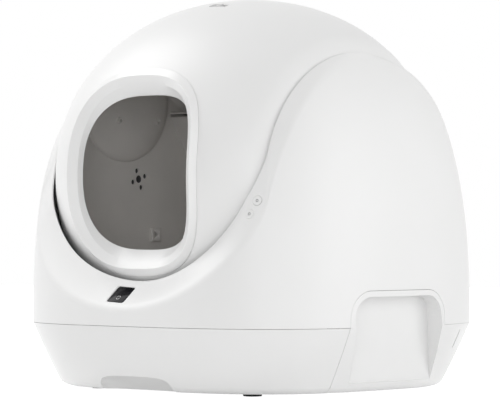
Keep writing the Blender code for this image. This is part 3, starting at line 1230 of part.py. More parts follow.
def make_electrics(black, electronic):
    """The control board on the tray's floor, and the power inlet in the rear wall."""
    z = TRAY_BOTTOM_Z + TRAY_FLOOR + SEAT_GAP
    board = box((BOARD_X, BOARD_Y, z), (BOARD_X + BOARD_WIDTH, BOARD_Y + BOARD_LENGTH, z + BOARD_THICKNESS))
    add_piece("control_board", board, electronic)
    inlet = cylinder(INLET_RADIUS, INLET_PROUD - INLET_LENGTH, INLET_PROUD)
    bmesh.ops.rotate(inlet, cent=(0, 0, 0), matrix=Matrix.Rotation(-math.pi / 2, 3, "X"), verts=inlet.verts)
    place = (INLET_X, inlet_y(), INLET_Z)
    inlet = add_piece("power_inlet", inlet, black, None, place)
    bore = cylinder(INLET_BORE, INLET_PROUD - INLET_LENGTH / 2, INLET_PROUD + OVERRUN)
    bmesh.ops.rotate(bore, cent=(0, 0, 0), matrix=Matrix.Rotation(-math.pi / 2, 3, "X"), verts=bore.verts)
    shape_by(inlet, add_cutter("inlet_bore", bore, None, place))


def main():
    for old in list(bpy.data.objects):
        bpy.data.objects.remove(old)
    white = material("white_plastic", (0.87, 0.87, 0.86), 0.35)
    dark = material("dark_plastic", (0.08, 0.078, 0.075), 0.5)
    grey = material("grey_plastic", (0.45, 0.45, 0.46), 0.5)
    black = material("black_gloss", (0.01, 0.01, 0.012), 0.08)
    rubber = material("rubber", (0.03, 0.03, 0.03), 0.8)
    metal = material("metal", (0.6, 0.6, 0.62), 0.35, 1.0)
    electronic = material("circuit_board", (0.02, 0.12, 0.06), 0.5)

    make_housing(white, electronic, black)
    make_tray(white, rubber)
    axis = add_empty("drum_axis", None, (0, AXIS_Y, AXIS_Z))
    make_drum(axis, white, dark, grey)
    make_fittings(axis, dark)
    make_latch(axis, grey, bpy.data.objects["drum_shell"])
    make_drive(axis, grey, metal)
    slide = add_empty("drawer_slide")
    make_drawer(slide, white, dark, grey)
    make_electrics(black, electronic)


main()
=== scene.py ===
"""Self cleaning litter box: the finish of every surface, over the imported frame."""
from math import acos, asin, atan2, copysign, cos, hypot, pi, radians, sin, sqrt, tan, tau

import bmesh
import bpy
from mathutils import Matrix, Vector


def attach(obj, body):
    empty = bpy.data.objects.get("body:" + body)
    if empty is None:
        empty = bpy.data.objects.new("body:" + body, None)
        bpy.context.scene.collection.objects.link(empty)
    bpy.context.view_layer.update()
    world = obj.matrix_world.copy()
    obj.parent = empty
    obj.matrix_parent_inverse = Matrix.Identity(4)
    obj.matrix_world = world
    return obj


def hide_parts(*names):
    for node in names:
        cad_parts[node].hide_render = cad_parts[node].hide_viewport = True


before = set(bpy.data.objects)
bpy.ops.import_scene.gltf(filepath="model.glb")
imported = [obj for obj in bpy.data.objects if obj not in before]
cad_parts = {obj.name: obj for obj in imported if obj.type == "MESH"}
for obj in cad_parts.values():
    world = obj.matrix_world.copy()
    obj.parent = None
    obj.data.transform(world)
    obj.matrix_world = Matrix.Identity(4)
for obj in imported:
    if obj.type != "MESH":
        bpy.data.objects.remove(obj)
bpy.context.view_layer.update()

# Camera, at the photograph's angle: to the right of the front and a little under
# the machine's middle, far off with a long lens, so the uprights stay upright.
VIEW_TURN = radians(43.07)
VIEW_DISTANCE = 4.9937
VIEW_HEIGHT = 0.2765
VIEW_CENTRE_ACROSS = -0.0014
VIEW_CENTRE_Z = 0.3102
VIEW_END = 50
LENS_MM = 217.2
SENSOR_MM = 36.0


def put(name, data):
    """A new object in the scene."""
    made = bpy.data.objects.new(name, data)
    bpy.context.collection.objects.link(made)
    return made


def set_up(made, place, aim):
    """Puts a camera or a lamp at a place and points it at another."""
    made.location = place
    made.rotation_euler = (aim - place).to_track_quat("-Z", "Y").to_euler()


view_axis = Vector((-sin(VIEW_TURN), cos(VIEW_TURN), 0))
view_right = Vector((cos(VIEW_TURN), sin(VIEW_TURN), 0))
camera_data = bpy.data.cameras.new("camera")
camera_data.lens = LENS_MM
camera_data.sensor_width = SENSOR_MM
camera_data.clip_end = VIEW_END
camera = put("camera", camera_data)
set_up(camera, -view_axis * VIEW_DISTANCE + Vector((0, 0, VIEW_HEIGHT)),
       view_right * VIEW_CENTRE_ACROSS + Vector((0, 0, VIEW_CENTRE_Z)))
bpy.context.scene.camera = camera
bpy.context.scene.view_settings.view_transform = "Standard"

# Studio: a white floor under a white sky, on which the machine keeps its shadow, and
# broad soft lamps from the upper left, the right and the front.
FLOOR_REACH = 6.0
LAMP_AIM = Vector((0, 0, 0.3))
LAMPS = (
    ("key", (-3.1, -1.2, 3.5), 3.0, 96.0),
    ("right", (3.7, 1.6, 1.1), 3.4, 56.0),
    ("front", (2.5, -3.2, 0.8), 2.0, 27.0),
)
SKY_LIGHT = 0.50
WHITE = (1, 1, 1, 1)


def wire(tree, node, inputs):
    """Sets a node's inputs, each to a value or to what another node puts out."""
    for name, value in inputs.items():
        if isinstance(value, bpy.types.NodeSocket):
            tree.links.new(value, node.inputs[name])
        else:
            node.inputs[name].default_value = value


def add_node(tree, kind, output, **inputs):
    """One output of a new shader node; an input is named with _ for a blank."""
    node = tree.nodes.new("ShaderNode" + kind)
    wire(tree, node, {name.replace("_", " "): value for name, value in inputs.items()})
    return node.outputs[output]


def seen_directly(tree):
    """One where the camera looks, straight, in a reflection or through glass."""
    total = add_node(tree, "LightPath", "Is Camera Ray")
    rays = total.node.outputs
    for kind in ("Is Glossy Ray", "Is Transmission Ray"):
        added = tree.nodes.new("ShaderNodeMath")
        added.use_clamp = True
        wire(tree, added, {0: total, 1: rays[kind]})
        total = added.outputs["Value"]
    return total


def new_look(name):
    """A material, with the node tree and the shader that it is built on."""
    made = bpy.data.materials.new(name)
    made.use_nodes = True
    return made, made.node_tree, made.node_tree.nodes["Principled BSDF"]


def mesh_of(name, shape):
    """A mesh made of a shape, which is used up."""
    mesh = bpy.data.meshes.new(name)
    shape.to_mesh(mesh)
    shape.free()
    return mesh


floor_white, tree, shader = new_look("floor_white")
wire(tree, shader, {"Base Color": (0.9, 0.9, 0.9, 1), "Roughness": 0.7, "Specular IOR Level": 0.1,
                    "Emission Color": WHITE, "Emission Strength": seen_directly(tree)})
shape = bmesh.new()
bmesh.ops.create_grid(shape, x_segments=1, y_segments=1, size=FLOOR_REACH)
floor = put("floor", mesh_of("floor", shape))
floor.data.materials.append(floor_white)

for name, place, size, power in LAMPS:
    lamp_data = bpy.data.lights.new(name, "AREA")
    lamp_data.shape = "DISK"
    lamp_data.size = size
    lamp_data.energy = power
    set_up(put(name, lamp_data), Vector(place), LAMP_AIM)

world = bpy.data.worlds.new("studio")
bpy.context.scene.world = world
world.use_nodes = True
tree = world.node_tree
sky = tree.nodes["Background"]
wire(tree, sky, {"Color": WHITE, "Strength": SKY_LIGHT})
plain = add_node(tree, "Background", "Background", Color=WHITE, Strength=1.0)
sky_mix = tree.nodes.new("ShaderNodeMixShader")
wire(tree, sky_mix, {"Fac": seen_directly(tree), 1: sky.outputs["Background"], 2: plain})
wire(tree, tree.nodes["World Output"], {"Surface": sky_mix.outputs["Shader"]})

# Drum barrel: white polypropylene, moulded in two halves and welded, 3 mm thick, with
# the entry's hole in front. Its ends turn in to a round shoulder behind the ears.
AXIS = Vector((0, -0.008, 0.347))
DRUM_RADIUS = 0.293
DRUM_HALF_WIDTH = 0.2455
DRUM_REACH = 0.318
DRUM_SIDE_POWER = 2.056
DRUM_CROWN_POWER = 2.54
SHOULDER_START = 0.215
SHOULDER_DROP = 0.018
DRUM_WALL = 0.003
DRUM_STEPS = 144
DRUM_STATIONS = 48
ENTRY_TURN = radians(1.45)
ENTRY_POWER = 3.0
ENTRY_POINTS = 144
SLEEVE_REACH = 0.119
SLEEVE_SWEEP = radians(28.0)
SLEEVE_RADIUS = 0.262
SLEEVE_WALL = 0.003
HOLE_REACH = 0.1335
HOLE_SWEEP = radians(31.1)
HOLE_GAP = 0.0007
OVERRUN = 0.02
SEW_REACH = 1e-6


def noise(tree, scale, detail=2.0):
    """A cloudy pattern that stays with the piece."""
    place = add_node(tree, "TexCoord", "Object")
    return add_node(tree, "TexNoise", "Fac", Vector=place, Scale=scale, Detail=detail)


def sheen(tree, pattern, low, high):
    """A roughness that follows a pattern from low to high."""
    return add_node(tree, "MapRange", "Result", Value=pattern, To_Min=low, To_Max=high)


def moulded(name, tones, drift, grain, rough, bump, even_skin=False, metallic=0.0):
    """A surface that drifts between two tones, uneven in sheen, with a fine raised grain."""
    made, tree, shader = new_look(name)
    cloud = noise(tree, *drift)
    skin = noise(tree, grain)
    shade = add_node(tree, "ValToRGB", "Color", Fac=cloud)
    for element, position, tone in zip(shade.node.color_ramp.elements, (0.3, 0.7), tones):
        element.position = position
        element.color = (*tone, 1)
    wire(tree, shader, {
        "Base Color": shade, "Metallic": metallic,
        "Roughness": sheen(tree, cloud if even_skin else skin, *rough),
        "Normal": add_node(tree, "Bump", "Normal", Height=skin, Strength=bump, Distance=0.0002)})
    return made


def white_plastic(name, tone, roughness):
    """Satin white plastic: a faint drift of tone and sheen, and a fine moulded skin."""
    tones = ((tone * 0.985, tone * 0.985, tone * 0.98), (tone, tone, tone * 0.997))
    return moulded(name, tones, drift=(6.0, 3.0), grain=900.0,
                   rough=(roughness - 0.03, roughness + 0.03), bump=0.06, even_skin=True)


def make_piece(name, shape, look, smooth_angle=35):
    """One finished object from a shape whose faces point out."""
    piece = put(name, mesh_of(name, shape))
    piece.data.materials.append(look)
    piece.data.shade_smooth()
    piece.data.set_sharp_from_angle(angle=radians(smooth_angle))
    return piece


def apply_modifiers(piece):
    """Settles a piece's modifiers into its mesh."""
    graph = bpy.context.evaluated_depsgraph_get()
    settled = bpy.data.meshes.new_from_object(piece.evaluated_get(graph))
    old = piece.data
    piece.modifiers.clear()
    piece.data = settled
    bpy.data.meshes.remove(old)


def discard(piece):
    """Takes an object and its mesh out of the scene."""
    mesh = piece.data
    bpy.data.objects.remove(piece)
    bpy.data.meshes.remove(mesh)


def cut_by(piece, shape, operation="DIFFERENCE"):
    """Cuts, trims or joins a piece with a shape, and settles the result."""
    cutter = put("cutter", mesh_of("cutter", shape))
    change = piece.modifiers.new("cut", "BOOLEAN")
    change.operation = operation
    change.solver = "EXACT"
    change.object = cutter
    apply_modifiers(piece)
    discard(cutter)


def smooth_edges(piece, width, segments=3, angle=50):
    """Rounds a piece's sharp edges."""
    change = piece.modifiers.new("rounded", "BEVEL")
    change.width = width
    change.segments = segments
    change.limit_method = "ANGLE"
    change.angle_limit = radians(angle)
    even = piece.modifiers.new("even", "WEIGHTED_NORMAL")
    even.keep_sharp = True
    apply_modifiers(piece)


def faces_out(shape):
    """A shape with all of its faces turned outwards."""
    bmesh.ops.recalc_face_normals(shape, faces=shape.faces)
    return shape


def drum_radius(x):
    """Radius of the barrel's outside at a distance from its middle."""
    x = abs(x)
    crown = DRUM_RADIUS * (1 - (x / DRUM_REACH) ** DRUM_SIDE_POWER) ** (1 / DRUM_CROWN_POWER)
    shoulder = max(x - SHOULDER_START, 0) / (DRUM_HALF_WIDTH - SHOULDER_START)
    return crown - SHOULDER_DROP * shoulder ** 2


def turn_about_axis(profile, steps, side=1):
    """Turns a closed profile of (x, radius) points, or its mirror, about the drum's axis."""
    shape = bmesh.new()
    verts = [shape.verts.new((side * x, AXIS.y, AXIS.z + radius)) for x, radius in profile]
    edges = [shape.edges.new(pair) for pair in zip(verts, verts[1:] + verts[:1])]
    bmesh.ops.spin(shape, geom=verts + edges, cent=AXIS, axis=(1, 0, 0), angle=tau,
                   steps=steps, use_merge=True)
    return faces_out(shape)


def barrel(half_width, radius, wall, stations):
    """Closed profile of an open barrel with round rims."""
    outer = []
    for step in range(stations + 1):
        x = half_width * sin(pi * (step / stations - 0.5))
        outer.append((x, radius(x)))
    inner = [(x, r - wall) for x, r in reversed(outer)]
    return outer + inner


def power_of(value, power):
    """A power that keeps the sign."""
    return copysign(abs(value) ** power, value)


def rounded_loop(angle, half_x, half_y, power):
    """A point of a rounded rectangle round the origin."""
    return half_x * power_of(cos(angle), 2 / power), half_y * power_of(sin(angle), 2 / power)


def entry_point(angle, reach, sweep, radius):
    """A point of a rounded-rectangle loop wrapped round the drum's axis."""
    x, turn = rounded_loop(angle, reach, sweep, ENTRY_POWER)
    turn += ENTRY_TURN
    here = radius(x)
    return AXIS + Vector((x, -here * cos(turn), here * sin(turn)))


def bent_grid(columns, rows, place, sewn_ends=False):
    """A grid moved to place(column, row), sewn where its first and last columns meet."""
    shape = bmesh.new()
    bmesh.ops.create_grid(shape, x_segments=columns, y_segments=rows, size=0.5)
    for vert in shape.verts:
        column = round((vert.co.x + 0.5) * columns)
        row = round((vert.co.y + 0.5) * rows)
        vert.co = place(column % columns, row % rows if sewn_ends else row)
    bmesh.ops.remove_doubles(shape, verts=shape.verts, dist=SEW_REACH)
    return shape


def capped(columns, rows, place):
    """A solid of the same kind, with a flat cap on each end."""
    shape = bent_grid(columns, rows, place)
    rims = [edge for edge in shape.edges if edge.is_boundary]
    bmesh.ops.holes_fill(shape, edges=rims, sides=0)
    return faces_out(shape)


def entry_way(reach, sweep):
    """A cutter for a hole that clears the entry ring."""
    reach += HOLE_GAP
    sweep += HOLE_GAP / DRUM_RADIUS
    radii = (SLEEVE_RADIUS - OVERRUN, (DRUM_RADIUS + OVERRUN) / cos(sweep + ENTRY_TURN))

    def place(column, row):
        return entry_point(tau * column / ENTRY_POINTS, reach, sweep, lambda x: radii[row])

    return capped(ENTRY_POINTS, 1, place)


drum_white = white_plastic("drum_white", 0.88, 0.42)
profile = barrel(DRUM_HALF_WIDTH, drum_radius, DRUM_WALL, DRUM_STATIONS)
drum = make_piece("drum_barrel", turn_about_axis(profile, DRUM_STEPS), drum_white)
cut_by(drum, entry_way(HOLE_REACH, HOLE_SWEEP))
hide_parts("drum_shell")
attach(drum, "drum")

# Entry ring: a raised white ring snapped over the drum's opening, with a bright chamfer
# inside its crest and a sleeve that lines the way through both walls.
FLANGE_REACH = 0.143
FLANGE_SWEEP = radians(34.3)
FLANGE_EDGE = 0.0012
CREASE_REACH = 0.137
CREASE_SWEEP = radians(31.4)
CROWN_RADIUS = 0.2965
CROWN_FALL = 0.015
LIP_REACH = 0.1225
LIP_SWEEP = radians(29.75)
LIP_DEPTH = 0.0130
LIP_UNDER = 0.0005
RING_SEAT = 0.0006
RING_ROUND = 0.0014
RING_ROUND_FROM = 14


def crown_radius(x):
    """Radius of the ring's crest about the drum's axis."""
    return CROWN_RADIUS - CROWN_FALL * (x / CREASE_REACH) ** 2


def ring_seat(x):
    """Radius where the ring lies on the barrel."""
    return drum_radius(x) + RING_SEAT


wall_sweep = SLEEVE_WALL / DRUM_RADIUS
ring_loops = (
    (FLANGE_REACH, FLANGE_SWEEP, lambda x: ring_seat(x) + FLANGE_EDGE),
    (CREASE_REACH, CREASE_SWEEP, crown_radius),
    (LIP_REACH, LIP_SWEEP, lambda x: crown_radius(x) - LIP_DEPTH),
    (SLEEVE_REACH, SLEEVE_SWEEP, lambda x: SLEEVE_RADIUS),
    (SLEEVE_REACH + SLEEVE_WALL, SLEEVE_SWEEP + wall_sweep, lambda x: SLEEVE_RADIUS),
    (LIP_REACH + SLEEVE_WALL, LIP_SWEEP + wall_sweep, lambda x: crown_radius(x) - LIP_DEPTH - LIP_UNDER),
    (HOLE_REACH, HOLE_SWEEP, ring_seat),
    (FLANGE_REACH, FLANGE_SWEEP, ring_seat),
)


def ring_place(column, row):
    """A place on the ring's skin: its column round the entry, its row round the section."""
    return entry_point(tau * column / ENTRY_POINTS, *ring_loops[row])


shape = faces_out(bent_grid(ENTRY_POINTS, len(ring_loops), ring_place, sewn_ends=True))
ring = make_piece("entry_ring", shape, white_plastic("ring_white", 0.9, 0.3), smooth_angle=60)
smooth_edges(ring, RING_ROUND, angle=RING_ROUND_FROM)
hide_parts("entry_bezel")
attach(ring, "drum")

# Chamber: a warm grey liner inside the barrel with a dished wall at each end, moulded
# with a fine matte grain; the left wall carries the filter dome and the hub's screws.
LINER_SPACE = 0.013
LINER_WALL = 0.0025
LINER_HALF_WIDTH = 0.236
LINER_STATIONS = 36
LINER_STEPS = 120


def matte_plastic(name, tone):
    """Warm grey plastic with a fine matte grain."""
    tones = ((tone * 0.94, tone * 0.92, tone * 0.89), (tone * 1.04, tone * 1.01, tone * 0.98))
    return moulded(name, tones, drift=(9.0, 4.0), grain=1400.0, rough=(0.45, 0.58), bump=0.15)


def liner_radius(x):
    """Radius of the liner's outside."""
    return drum_radius(x) - LINER_SPACE


chamber_grey = matte_plastic("chamber_grey", 0.8)
profile = barrel(LINER_HALF_WIDTH, liner_radius, LINER_WALL, LINER_STATIONS)
liner = make_piece("chamber_liner", turn_about_axis(profile, LINER_STEPS), chamber_grey)
cut_by(liner, entry_way(LIP_REACH + SLEEVE_WALL, LIP_SWEEP + wall_sweep))
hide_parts("inner_liner")
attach(liner, "drum")

# Housing: the white polypropylene dome, injection moulded, 2.5 mm thick. Its broad collar
# slopes in to the drum and rises into an ear on each side; it sits on the tray.
PLAN_HALF_WIDTH = 0.3315
PLAN_HALF_DEPTH = 0.3085
PLAN_POWER = 3.04
SEAM_Z = 0.109
DOME_REACH = 0.560
DOME_POWER = 2.5
TRAY_BOTTOM_Z = 0.0055
TRAY_TAPER = 0.0455
STRAIGHT_SHARE = 0.87
EDGE_GAP = 0.0078
EDGE_SWELL = 0.0060
EDGE_SWELL_SPAN = 0.275
EAR_HALF_WIDTH = 0.2452
EAR_FOLD_RADIUS = 0.187
FRONT_EDGE = (0.050, 0.217, 0.239)
FRONT_FOLD = (-0.026, 0.183, 0.2572)
FRONT_FOLD_POWER = 4.0
REAR_EDGE = (0.060, 0.110, 0.232)
REAR_FOLD = (0.020, 0.098, 0.248)
REAR_FOLD_POWER = 1.0
HOUSING_WALL = 0.0025
FRONT_COLUMNS = 56
SIDE_COLUMNS = 26
REAR_COLUMNS = 24
BAND_ROWS = 10
WALL_ROWS = 16
WALL_EASE = 1.3
FOLD_SOFTNESS = 0.011
FOLD_SHARE = 0.45
FOLD_ROWS = 6
RIM_ROUND = 0.0009
SEAT_GAP = 0.0003
GRIP_GAP = 0.0006
GRIP_FRONT_Y = -0.120
GRIP_REAR_Y = 0.106
GRIP_TOP_Z = 0.166
GRIP_CORNER = 0.044
GRIP_STEPS = 12
WINDOW_SIZE = 0.036
WINDOW_FROM_FOLD = 0.0315
WINDOW_TURN = radians(-3.9)
WINDOW_CORNER = 0.003
BUTTON_RADIUS = 0.0075
BUTTON_TURNS = {"button_upper": radians(74.7), "button_lower": radians(68.5)}
BUTTON_ACROSS = 0.49
HOLE_CHAMFER = 0.0008
HOLE_STEPS = 64


def mix(a, b, share):
    """The place a share of the way from a to b."""
    return a + (b - a) * share


def round_corner(steps):
    """How far a round corner lies in from its two walls, step by step, as shares of its radius."""
    turns = [pi / 2 * step / steps for step in range(steps + 1)]
    return [(1 - cos(turn), 1 - sin(turn)) for turn in turns]


def plan_scale(z):
    """Size of the outer plan at a height, as a share of its size at the seam."""
    if z >= SEAM_Z:
        rise = min((z - SEAM_Z) / DOME_REACH, 1)
        return (1 - rise ** DOME_POWER) ** (1 / DOME_POWER)
    depth = (SEAM_Z - z) / (SEAM_Z - TRAY_BOTTOM_Z)
    drawn_in = STRAIGHT_SHARE * depth + (1 - STRAIGHT_SHARE) * depth ** 2
    return 1 - TRAY_TAPER / PLAN_HALF_WIDTH * drawn_in


def plan_point(turn, z, inset=0.0):
    """The outer wall's place at a turn round the middle and a height."""
    half_width = PLAN_HALF_WIDTH * plan_scale(z) - inset
    half_depth = PLAN_HALF_DEPTH * plan_scale(z) - inset
    across = abs(cos(turn)) / half_width
    along = abs(sin(turn)) / half_depth
    radius = (across ** PLAN_POWER + along ** PLAN_POWER) ** (-1 / PLAN_POWER)
    return Vector((radius * cos(turn), radius * sin(turn), z))


def dome_reach(place, z, own_half, other_half):
    """How far the dome reaches along one axis, at a place along the other and a height."""
    share = min(abs(place) / (other_half * plan_scale(z)), 1)
    return own_half * plan_scale(z) * (1 - share ** PLAN_POWER) ** (1 / PLAN_POWER)


def edge_radius(x):
    """Radius about the drum's axis of the collar's inner edge."""
    return drum_radius(x) + EDGE_GAP + EDGE_SWELL * sin(pi * x / EDGE_SWELL_SPAN) ** 2


def edge_place(x, rise, facing):
    """A place on the collar's inner edge; facing is -1 in front and 1 behind."""
    return Vector((x, AXIS.y + facing * sqrt(edge_radius(x) ** 2 - rise ** 2), AXIS.z + rise))


def bend_places(turn, facing):
    """Edge and fold of the collar at a turn along its front or rear bend."""
    edge, fold = (FRONT_EDGE, FRONT_FOLD) if facing < 0 else (REAR_EDGE, REAR_FOLD)
    inner = edge_place(edge[2] * sin(turn), edge[0] - edge[1] * cos(turn), facing)
    x = fold[2] * sin(turn)
    z = AXIS.z + fold[0] - fold[1] * cos(turn)
    return inner, Vector((x, facing * dome_reach(x, z, PLAN_HALF_DEPTH, PLAN_HALF_WIDTH), z))


def side_places(share, facing):
    """Edge and fold of the collar from the end of a bend to the top of the ear."""
    upright = pi / 2
    bend_edge, bend_fold = bend_places(upright, facing)
    start = asin((bend_edge.z - AXIS.z) / edge_radius(bend_edge.x))
    turn = mix(start, upright, share)
    flare = (sin(turn) - sin(start)) / (1 - sin(start))
    x = mix(bend_edge.x, EAR_HALF_WIDTH, flare)
    inner = edge_place(x, edge_radius(x) * sin(turn), facing)
    rise = bend_fold.z - AXIS.z
    reach = hypot(bend_fold.y - AXIS.y, rise)
    turn = mix(asin(rise / reach), upright, share)
    power = FRONT_FOLD_POWER if facing < 0 else REAR_FOLD_POWER
    reach = mix(EAR_FOLD_RADIUS, reach, (1 - share) ** power)
    y = AXIS.y + facing * reach * cos(turn)
    z = AXIS.z + reach * sin(turn)
    return inner, Vector((dome_reach(y, z, PLAN_HALF_WIDTH, PLAN_HALF_DEPTH), y, z))


def collar_columns():
    """Edge and fold of the collar, all the way round."""
    upright = pi / 2
    right = [bend_places(upright * step / FRONT_COLUMNS, -1) for step in range(FRONT_COLUMNS)]
    right += [side_places(step / SIDE_COLUMNS, -1) for step in range(SIDE_COLUMNS)]
    right += [side_places(step / SIDE_COLUMNS, 1) for step in range(SIDE_COLUMNS, 0, -1)]
    right += [bend_places(upright * step / REAR_COLUMNS, 1) for step in range(REAR_COLUMNS, -1, -1)]
    left = [[Vector((-place.x, place.y, place.z)) for place in pair] for pair in right[-2:0:-1]]
    return right + left


def housing_path(edge, fold):
    """The housing's outside from the drum to the seam, with the fold made soft."""
    foot_z = SEAM_Z + SEAT_GAP
    soft = min(FOLD_SOFTNESS, (fold - edge).length * FOLD_SHARE)
    turn = atan2(fold.y, fold.x)
    band_end = fold + (edge - fold).normalized() * soft
    wall_start = plan_point(turn, fold.z - soft)
    path = [mix(edge, band_end, step / BAND_ROWS) for step in range(BAND_ROWS)]
    for step in range(FOLD_ROWS + 1):
        share = step / FOLD_ROWS
        path.append(mix(mix(band_end, fold, share), mix(fold, wall_start, share), share))
    for step in range(1, WALL_ROWS + 1):
        path.append(plan_point(turn, mix(wall_start.z, foot_z, (step / WALL_ROWS) ** WALL_EASE)))
    return path


def grip_outline(grow=0.0, foot_z=SEAM_Z):
    """The hand grip's raised outline seen from the side."""
    corner = GRIP_CORNER + grow
    top = GRIP_TOP_Z + grow
    bend = [(corner * across, top - corner * up) for across, up in round_corner(GRIP_STEPS)]
    front = GRIP_FRONT_Y - grow
    rear = GRIP_REAR_Y + grow
    outline = [(front, foot_z)] + [(front + along, z) for along, z in bend]
    return outline + [(rear - along, z) for along, z in reversed(bend)] + [(rear, foot_z)]


def slab(outline, travel):
    """A solid pushed out from a flat outline."""
    shape = bmesh.new()
    face = shape.faces.new([shape.verts.new(place) for place in outline])
    pushed = bmesh.ops.extrude_face_region(shape, geom=[face])["geom"]
    ends = [item for item in pushed if isinstance(item, bmesh.types.BMVert)]
    bmesh.ops.translate(shape, verts=ends, vec=travel)
    return faces_out(shape)


def band_place(turn, across):
    """A frame on the collar's front: X along the band, Z out of it."""
    edge, fold = bend_places(turn, -1)
    before = bend_places(turn - radians(1), -1)
    after = bend_places(turn + radians(1), -1)
    along = (mix(*after, across) - mix(*before, across)).normalized()
    out = along.cross(edge - fold).normalized()
    if out.y > 0:
        out.negate()
    frame_on_band = Matrix((along, out.cross(along), out)).transposed().to_4x4()
    frame_on_band.translation = mix(edge, fold, across)
    return frame_on_band


def rounded_outline(half, corner):
    """A square's outline with round corners; a circle where the corner is as large as the half."""
    steps = HOLE_STEPS // 4
    points = []
    for quarter in range(4):
        for step in range(steps + (corner < half)):
            turn = pi / 2 * (quarter + step / steps)
            middle = pi / 2 * quarter + pi / 4
            reach = (half - corner) * sqrt(2)
            points.append((reach * cos(middle) + corner * cos(turn),
                           reach * sin(middle) + corner * sin(turn)))
    return points


def prism(low_outline, low_z, high_outline, high_z):
    """A closed body between two outlines of as many points."""
    shape = bmesh.new()
    low = [shape.verts.new((x, y, low_z)) for x, y in low_outline]
    high = [shape.verts.new((x, y, high_z)) for x, y in high_outline]
    shape.faces.new(low)
    shape.faces.new(high)
    for index in range(len(low)):
        shape.faces.new((low[index - 1], low[index], high[index], high[index - 1]))
    return faces_out(shape)


def cut_hole(piece, place, half, corner):
    """A straight hole with a small chamfer at its mouth."""
    flare = OVERRUN + HOLE_CHAMFER
    straight = rounded_outline(half, corner)
    flared = rounded_outline(half + flare, corner + flare)
    for shape in (prism(straight, -OVERRUN, straight, OVERRUN),
                  prism(straight, -HOLE_CHAMFER, flared, OVERRUN)):
        shape.transform(place)
        cut_by(piece, shape)


housing_white = white_plastic("housing_white", 0.87, 0.46)
paths = [housing_path(edge, fold) for edge, fold in collar_columns()]
shape = faces_out(bent_grid(len(paths), len(paths[0]) - 1, lambda column, row: paths[column][row]))
front_face = min(shape.faces, key=lambda face: face.calc_center_median().y)
if front_face.normal.y > 0:
    bmesh.ops.reverse_faces(shape, faces=shape.faces)
housing = make_piece("housing", shape, housing_white)
wall = housing.modifiers.new("wall", "SOLIDIFY")
wall.thickness = HOUSING_WALL
wall.offset = -1.0
apply_modifiers(housing)
smooth_edges(housing, RIM_ROUND, angle=60)
reach = PLAN_HALF_WIDTH + OVERRUN
outline = [(-reach, y, z) for y, z in grip_outline(GRIP_GAP, SEAM_Z - OVERRUN)]
cut_by(housing, slab(outline, (2 * reach, 0, 0)))
edge, fold = bend_places(WINDOW_TURN, -1)
window_place = band_place(WINDOW_TURN, 1 - WINDOW_FROM_FOLD / (edge - fold).length)
cut_hole(housing, window_place, WINDOW_SIZE / 2 + SEAT_GAP, WINDOW_CORNER + SEAT_GAP)
button_hole = BUTTON_RADIUS + SEAT_GAP
for turn in BUTTON_TURNS.values():
    cut_hole(housing, band_place(turn, BUTTON_ACROSS), button_hole, button_hole)
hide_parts("housing_shell")
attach(housing, "housing")

# Display window: a glossy black acrylic square let in flush with the collar, with two
# small bowed strips on its lower half that stand for its lights.
WINDOW_THICKNESS = 0.003
WINDOW_EDGE = 0.0005
MARK_RADIUS = 0.0036
MARK_WIDTH = 0.0007
MARK_DROP = 0.0075
MARK_PROUD = 0.00004
MARK_SWEEP = radians(140)
MARK_STEPS = 20


def gloss_black(name):
    """Black acrylic: glossy, with a trace of fine wipe marks in the sheen."""
    made, tree, shader = new_look(name)
    wire(tree, shader, {"Base Color": (0.011, 0.011, 0.013, 1), "Specular IOR Level": 0.04,
                        "Roughness": sheen(tree, noise(tree, 60.0, 4.0), 0.05, 0.12)})
    return made


def moved(shape, *moves):
    """A shape after one move after another."""
    for move in moves:
        shape.transform(move)
    return shape


def ring_arc(radius, width, sweep, steps, *moves):
    """A thin raised strip bent along part of a circle or all round it."""
    shape = bmesh.new()
    low, high = radius - width / 2, radius + width / 2
    section = ((low, -MARK_PROUD), (high, -MARK_PROUD), (high, MARK_PROUD), (low, MARK_PROUD))
    verts = [shape.verts.new((along, 0, z)) for along, z in section]
    face = shape.faces.new(verts)
    full = sweep == tau
    bmesh.ops.spin(shape, geom=[face] + list(face.edges) + verts, cent=(0, 0, 0), axis=(0, 0, 1),
                   angle=sweep, steps=steps, use_merge=full)
    if full:
        inside = [face for face in shape.faces if all(len(edge.link_faces) > 2 for edge in face.edges)]
        bmesh.ops.delete(shape, geom=inside, context="FACES_ONLY")
    return moved(faces_out(shape), *moves)


def bevel(shape, edges, width, segments=3):
    """A shape with some of its edges rounded."""
    bmesh.ops.bevel(shape, geom=edges, offset=width, segments=segments, profile=0.5,
                    affect="EDGES", material=-1)
    return shape


black_acrylic = gloss_black("black_acrylic")
outline = rounded_outline(WINDOW_SIZE / 2, WINDOW_CORNER)
shape = prism(outline, -WINDOW_THICKNESS, outline, 0)
rims = [edge for edge in shape.edges if abs(edge.verts[0].co.z - edge.verts[1].co.z) < WINDOW_EDGE]
shape = moved(bevel(shape, rims, WINDOW_EDGE), window_place)
window = make_piece("display_glass", shape, black_acrylic)
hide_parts("display_window")
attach(window, "housing")
mark_white = white_plastic("mark_white", 0.8, 0.4)
for index, start in enumerate((radians(20), radians(200))):
    shape = ring_arc(MARK_RADIUS, MARK_WIDTH, MARK_SWEEP, MARK_STEPS, Matrix.Rotation(start, 4, "Z"),
                     Matrix.Translation((0, -MARK_DROP, 0)), window_place)
    strip = make_piece("display_light_%d" % (index + 1), shape, mark_white)
    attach(strip, "housing")

# Buttons: two round white caps moulded with a stem and with a flange that holds them under
# the housing's wall, a fine gap round each, and a small grey ring on each face.
BUTTON_PROUD = 0.0006
BUTTON_DEPTH = 0.0075
BUTTON_EDGE = 0.0006
FLANGE_RADIUS = 0.0086
FLANGE_TOP = -0.0047
FLANGE_THICKNESS = 0.0015
DOT_RADIUS = 0.0019
DOT_WIDTH = 0.0009
DOT_STEPS = 48


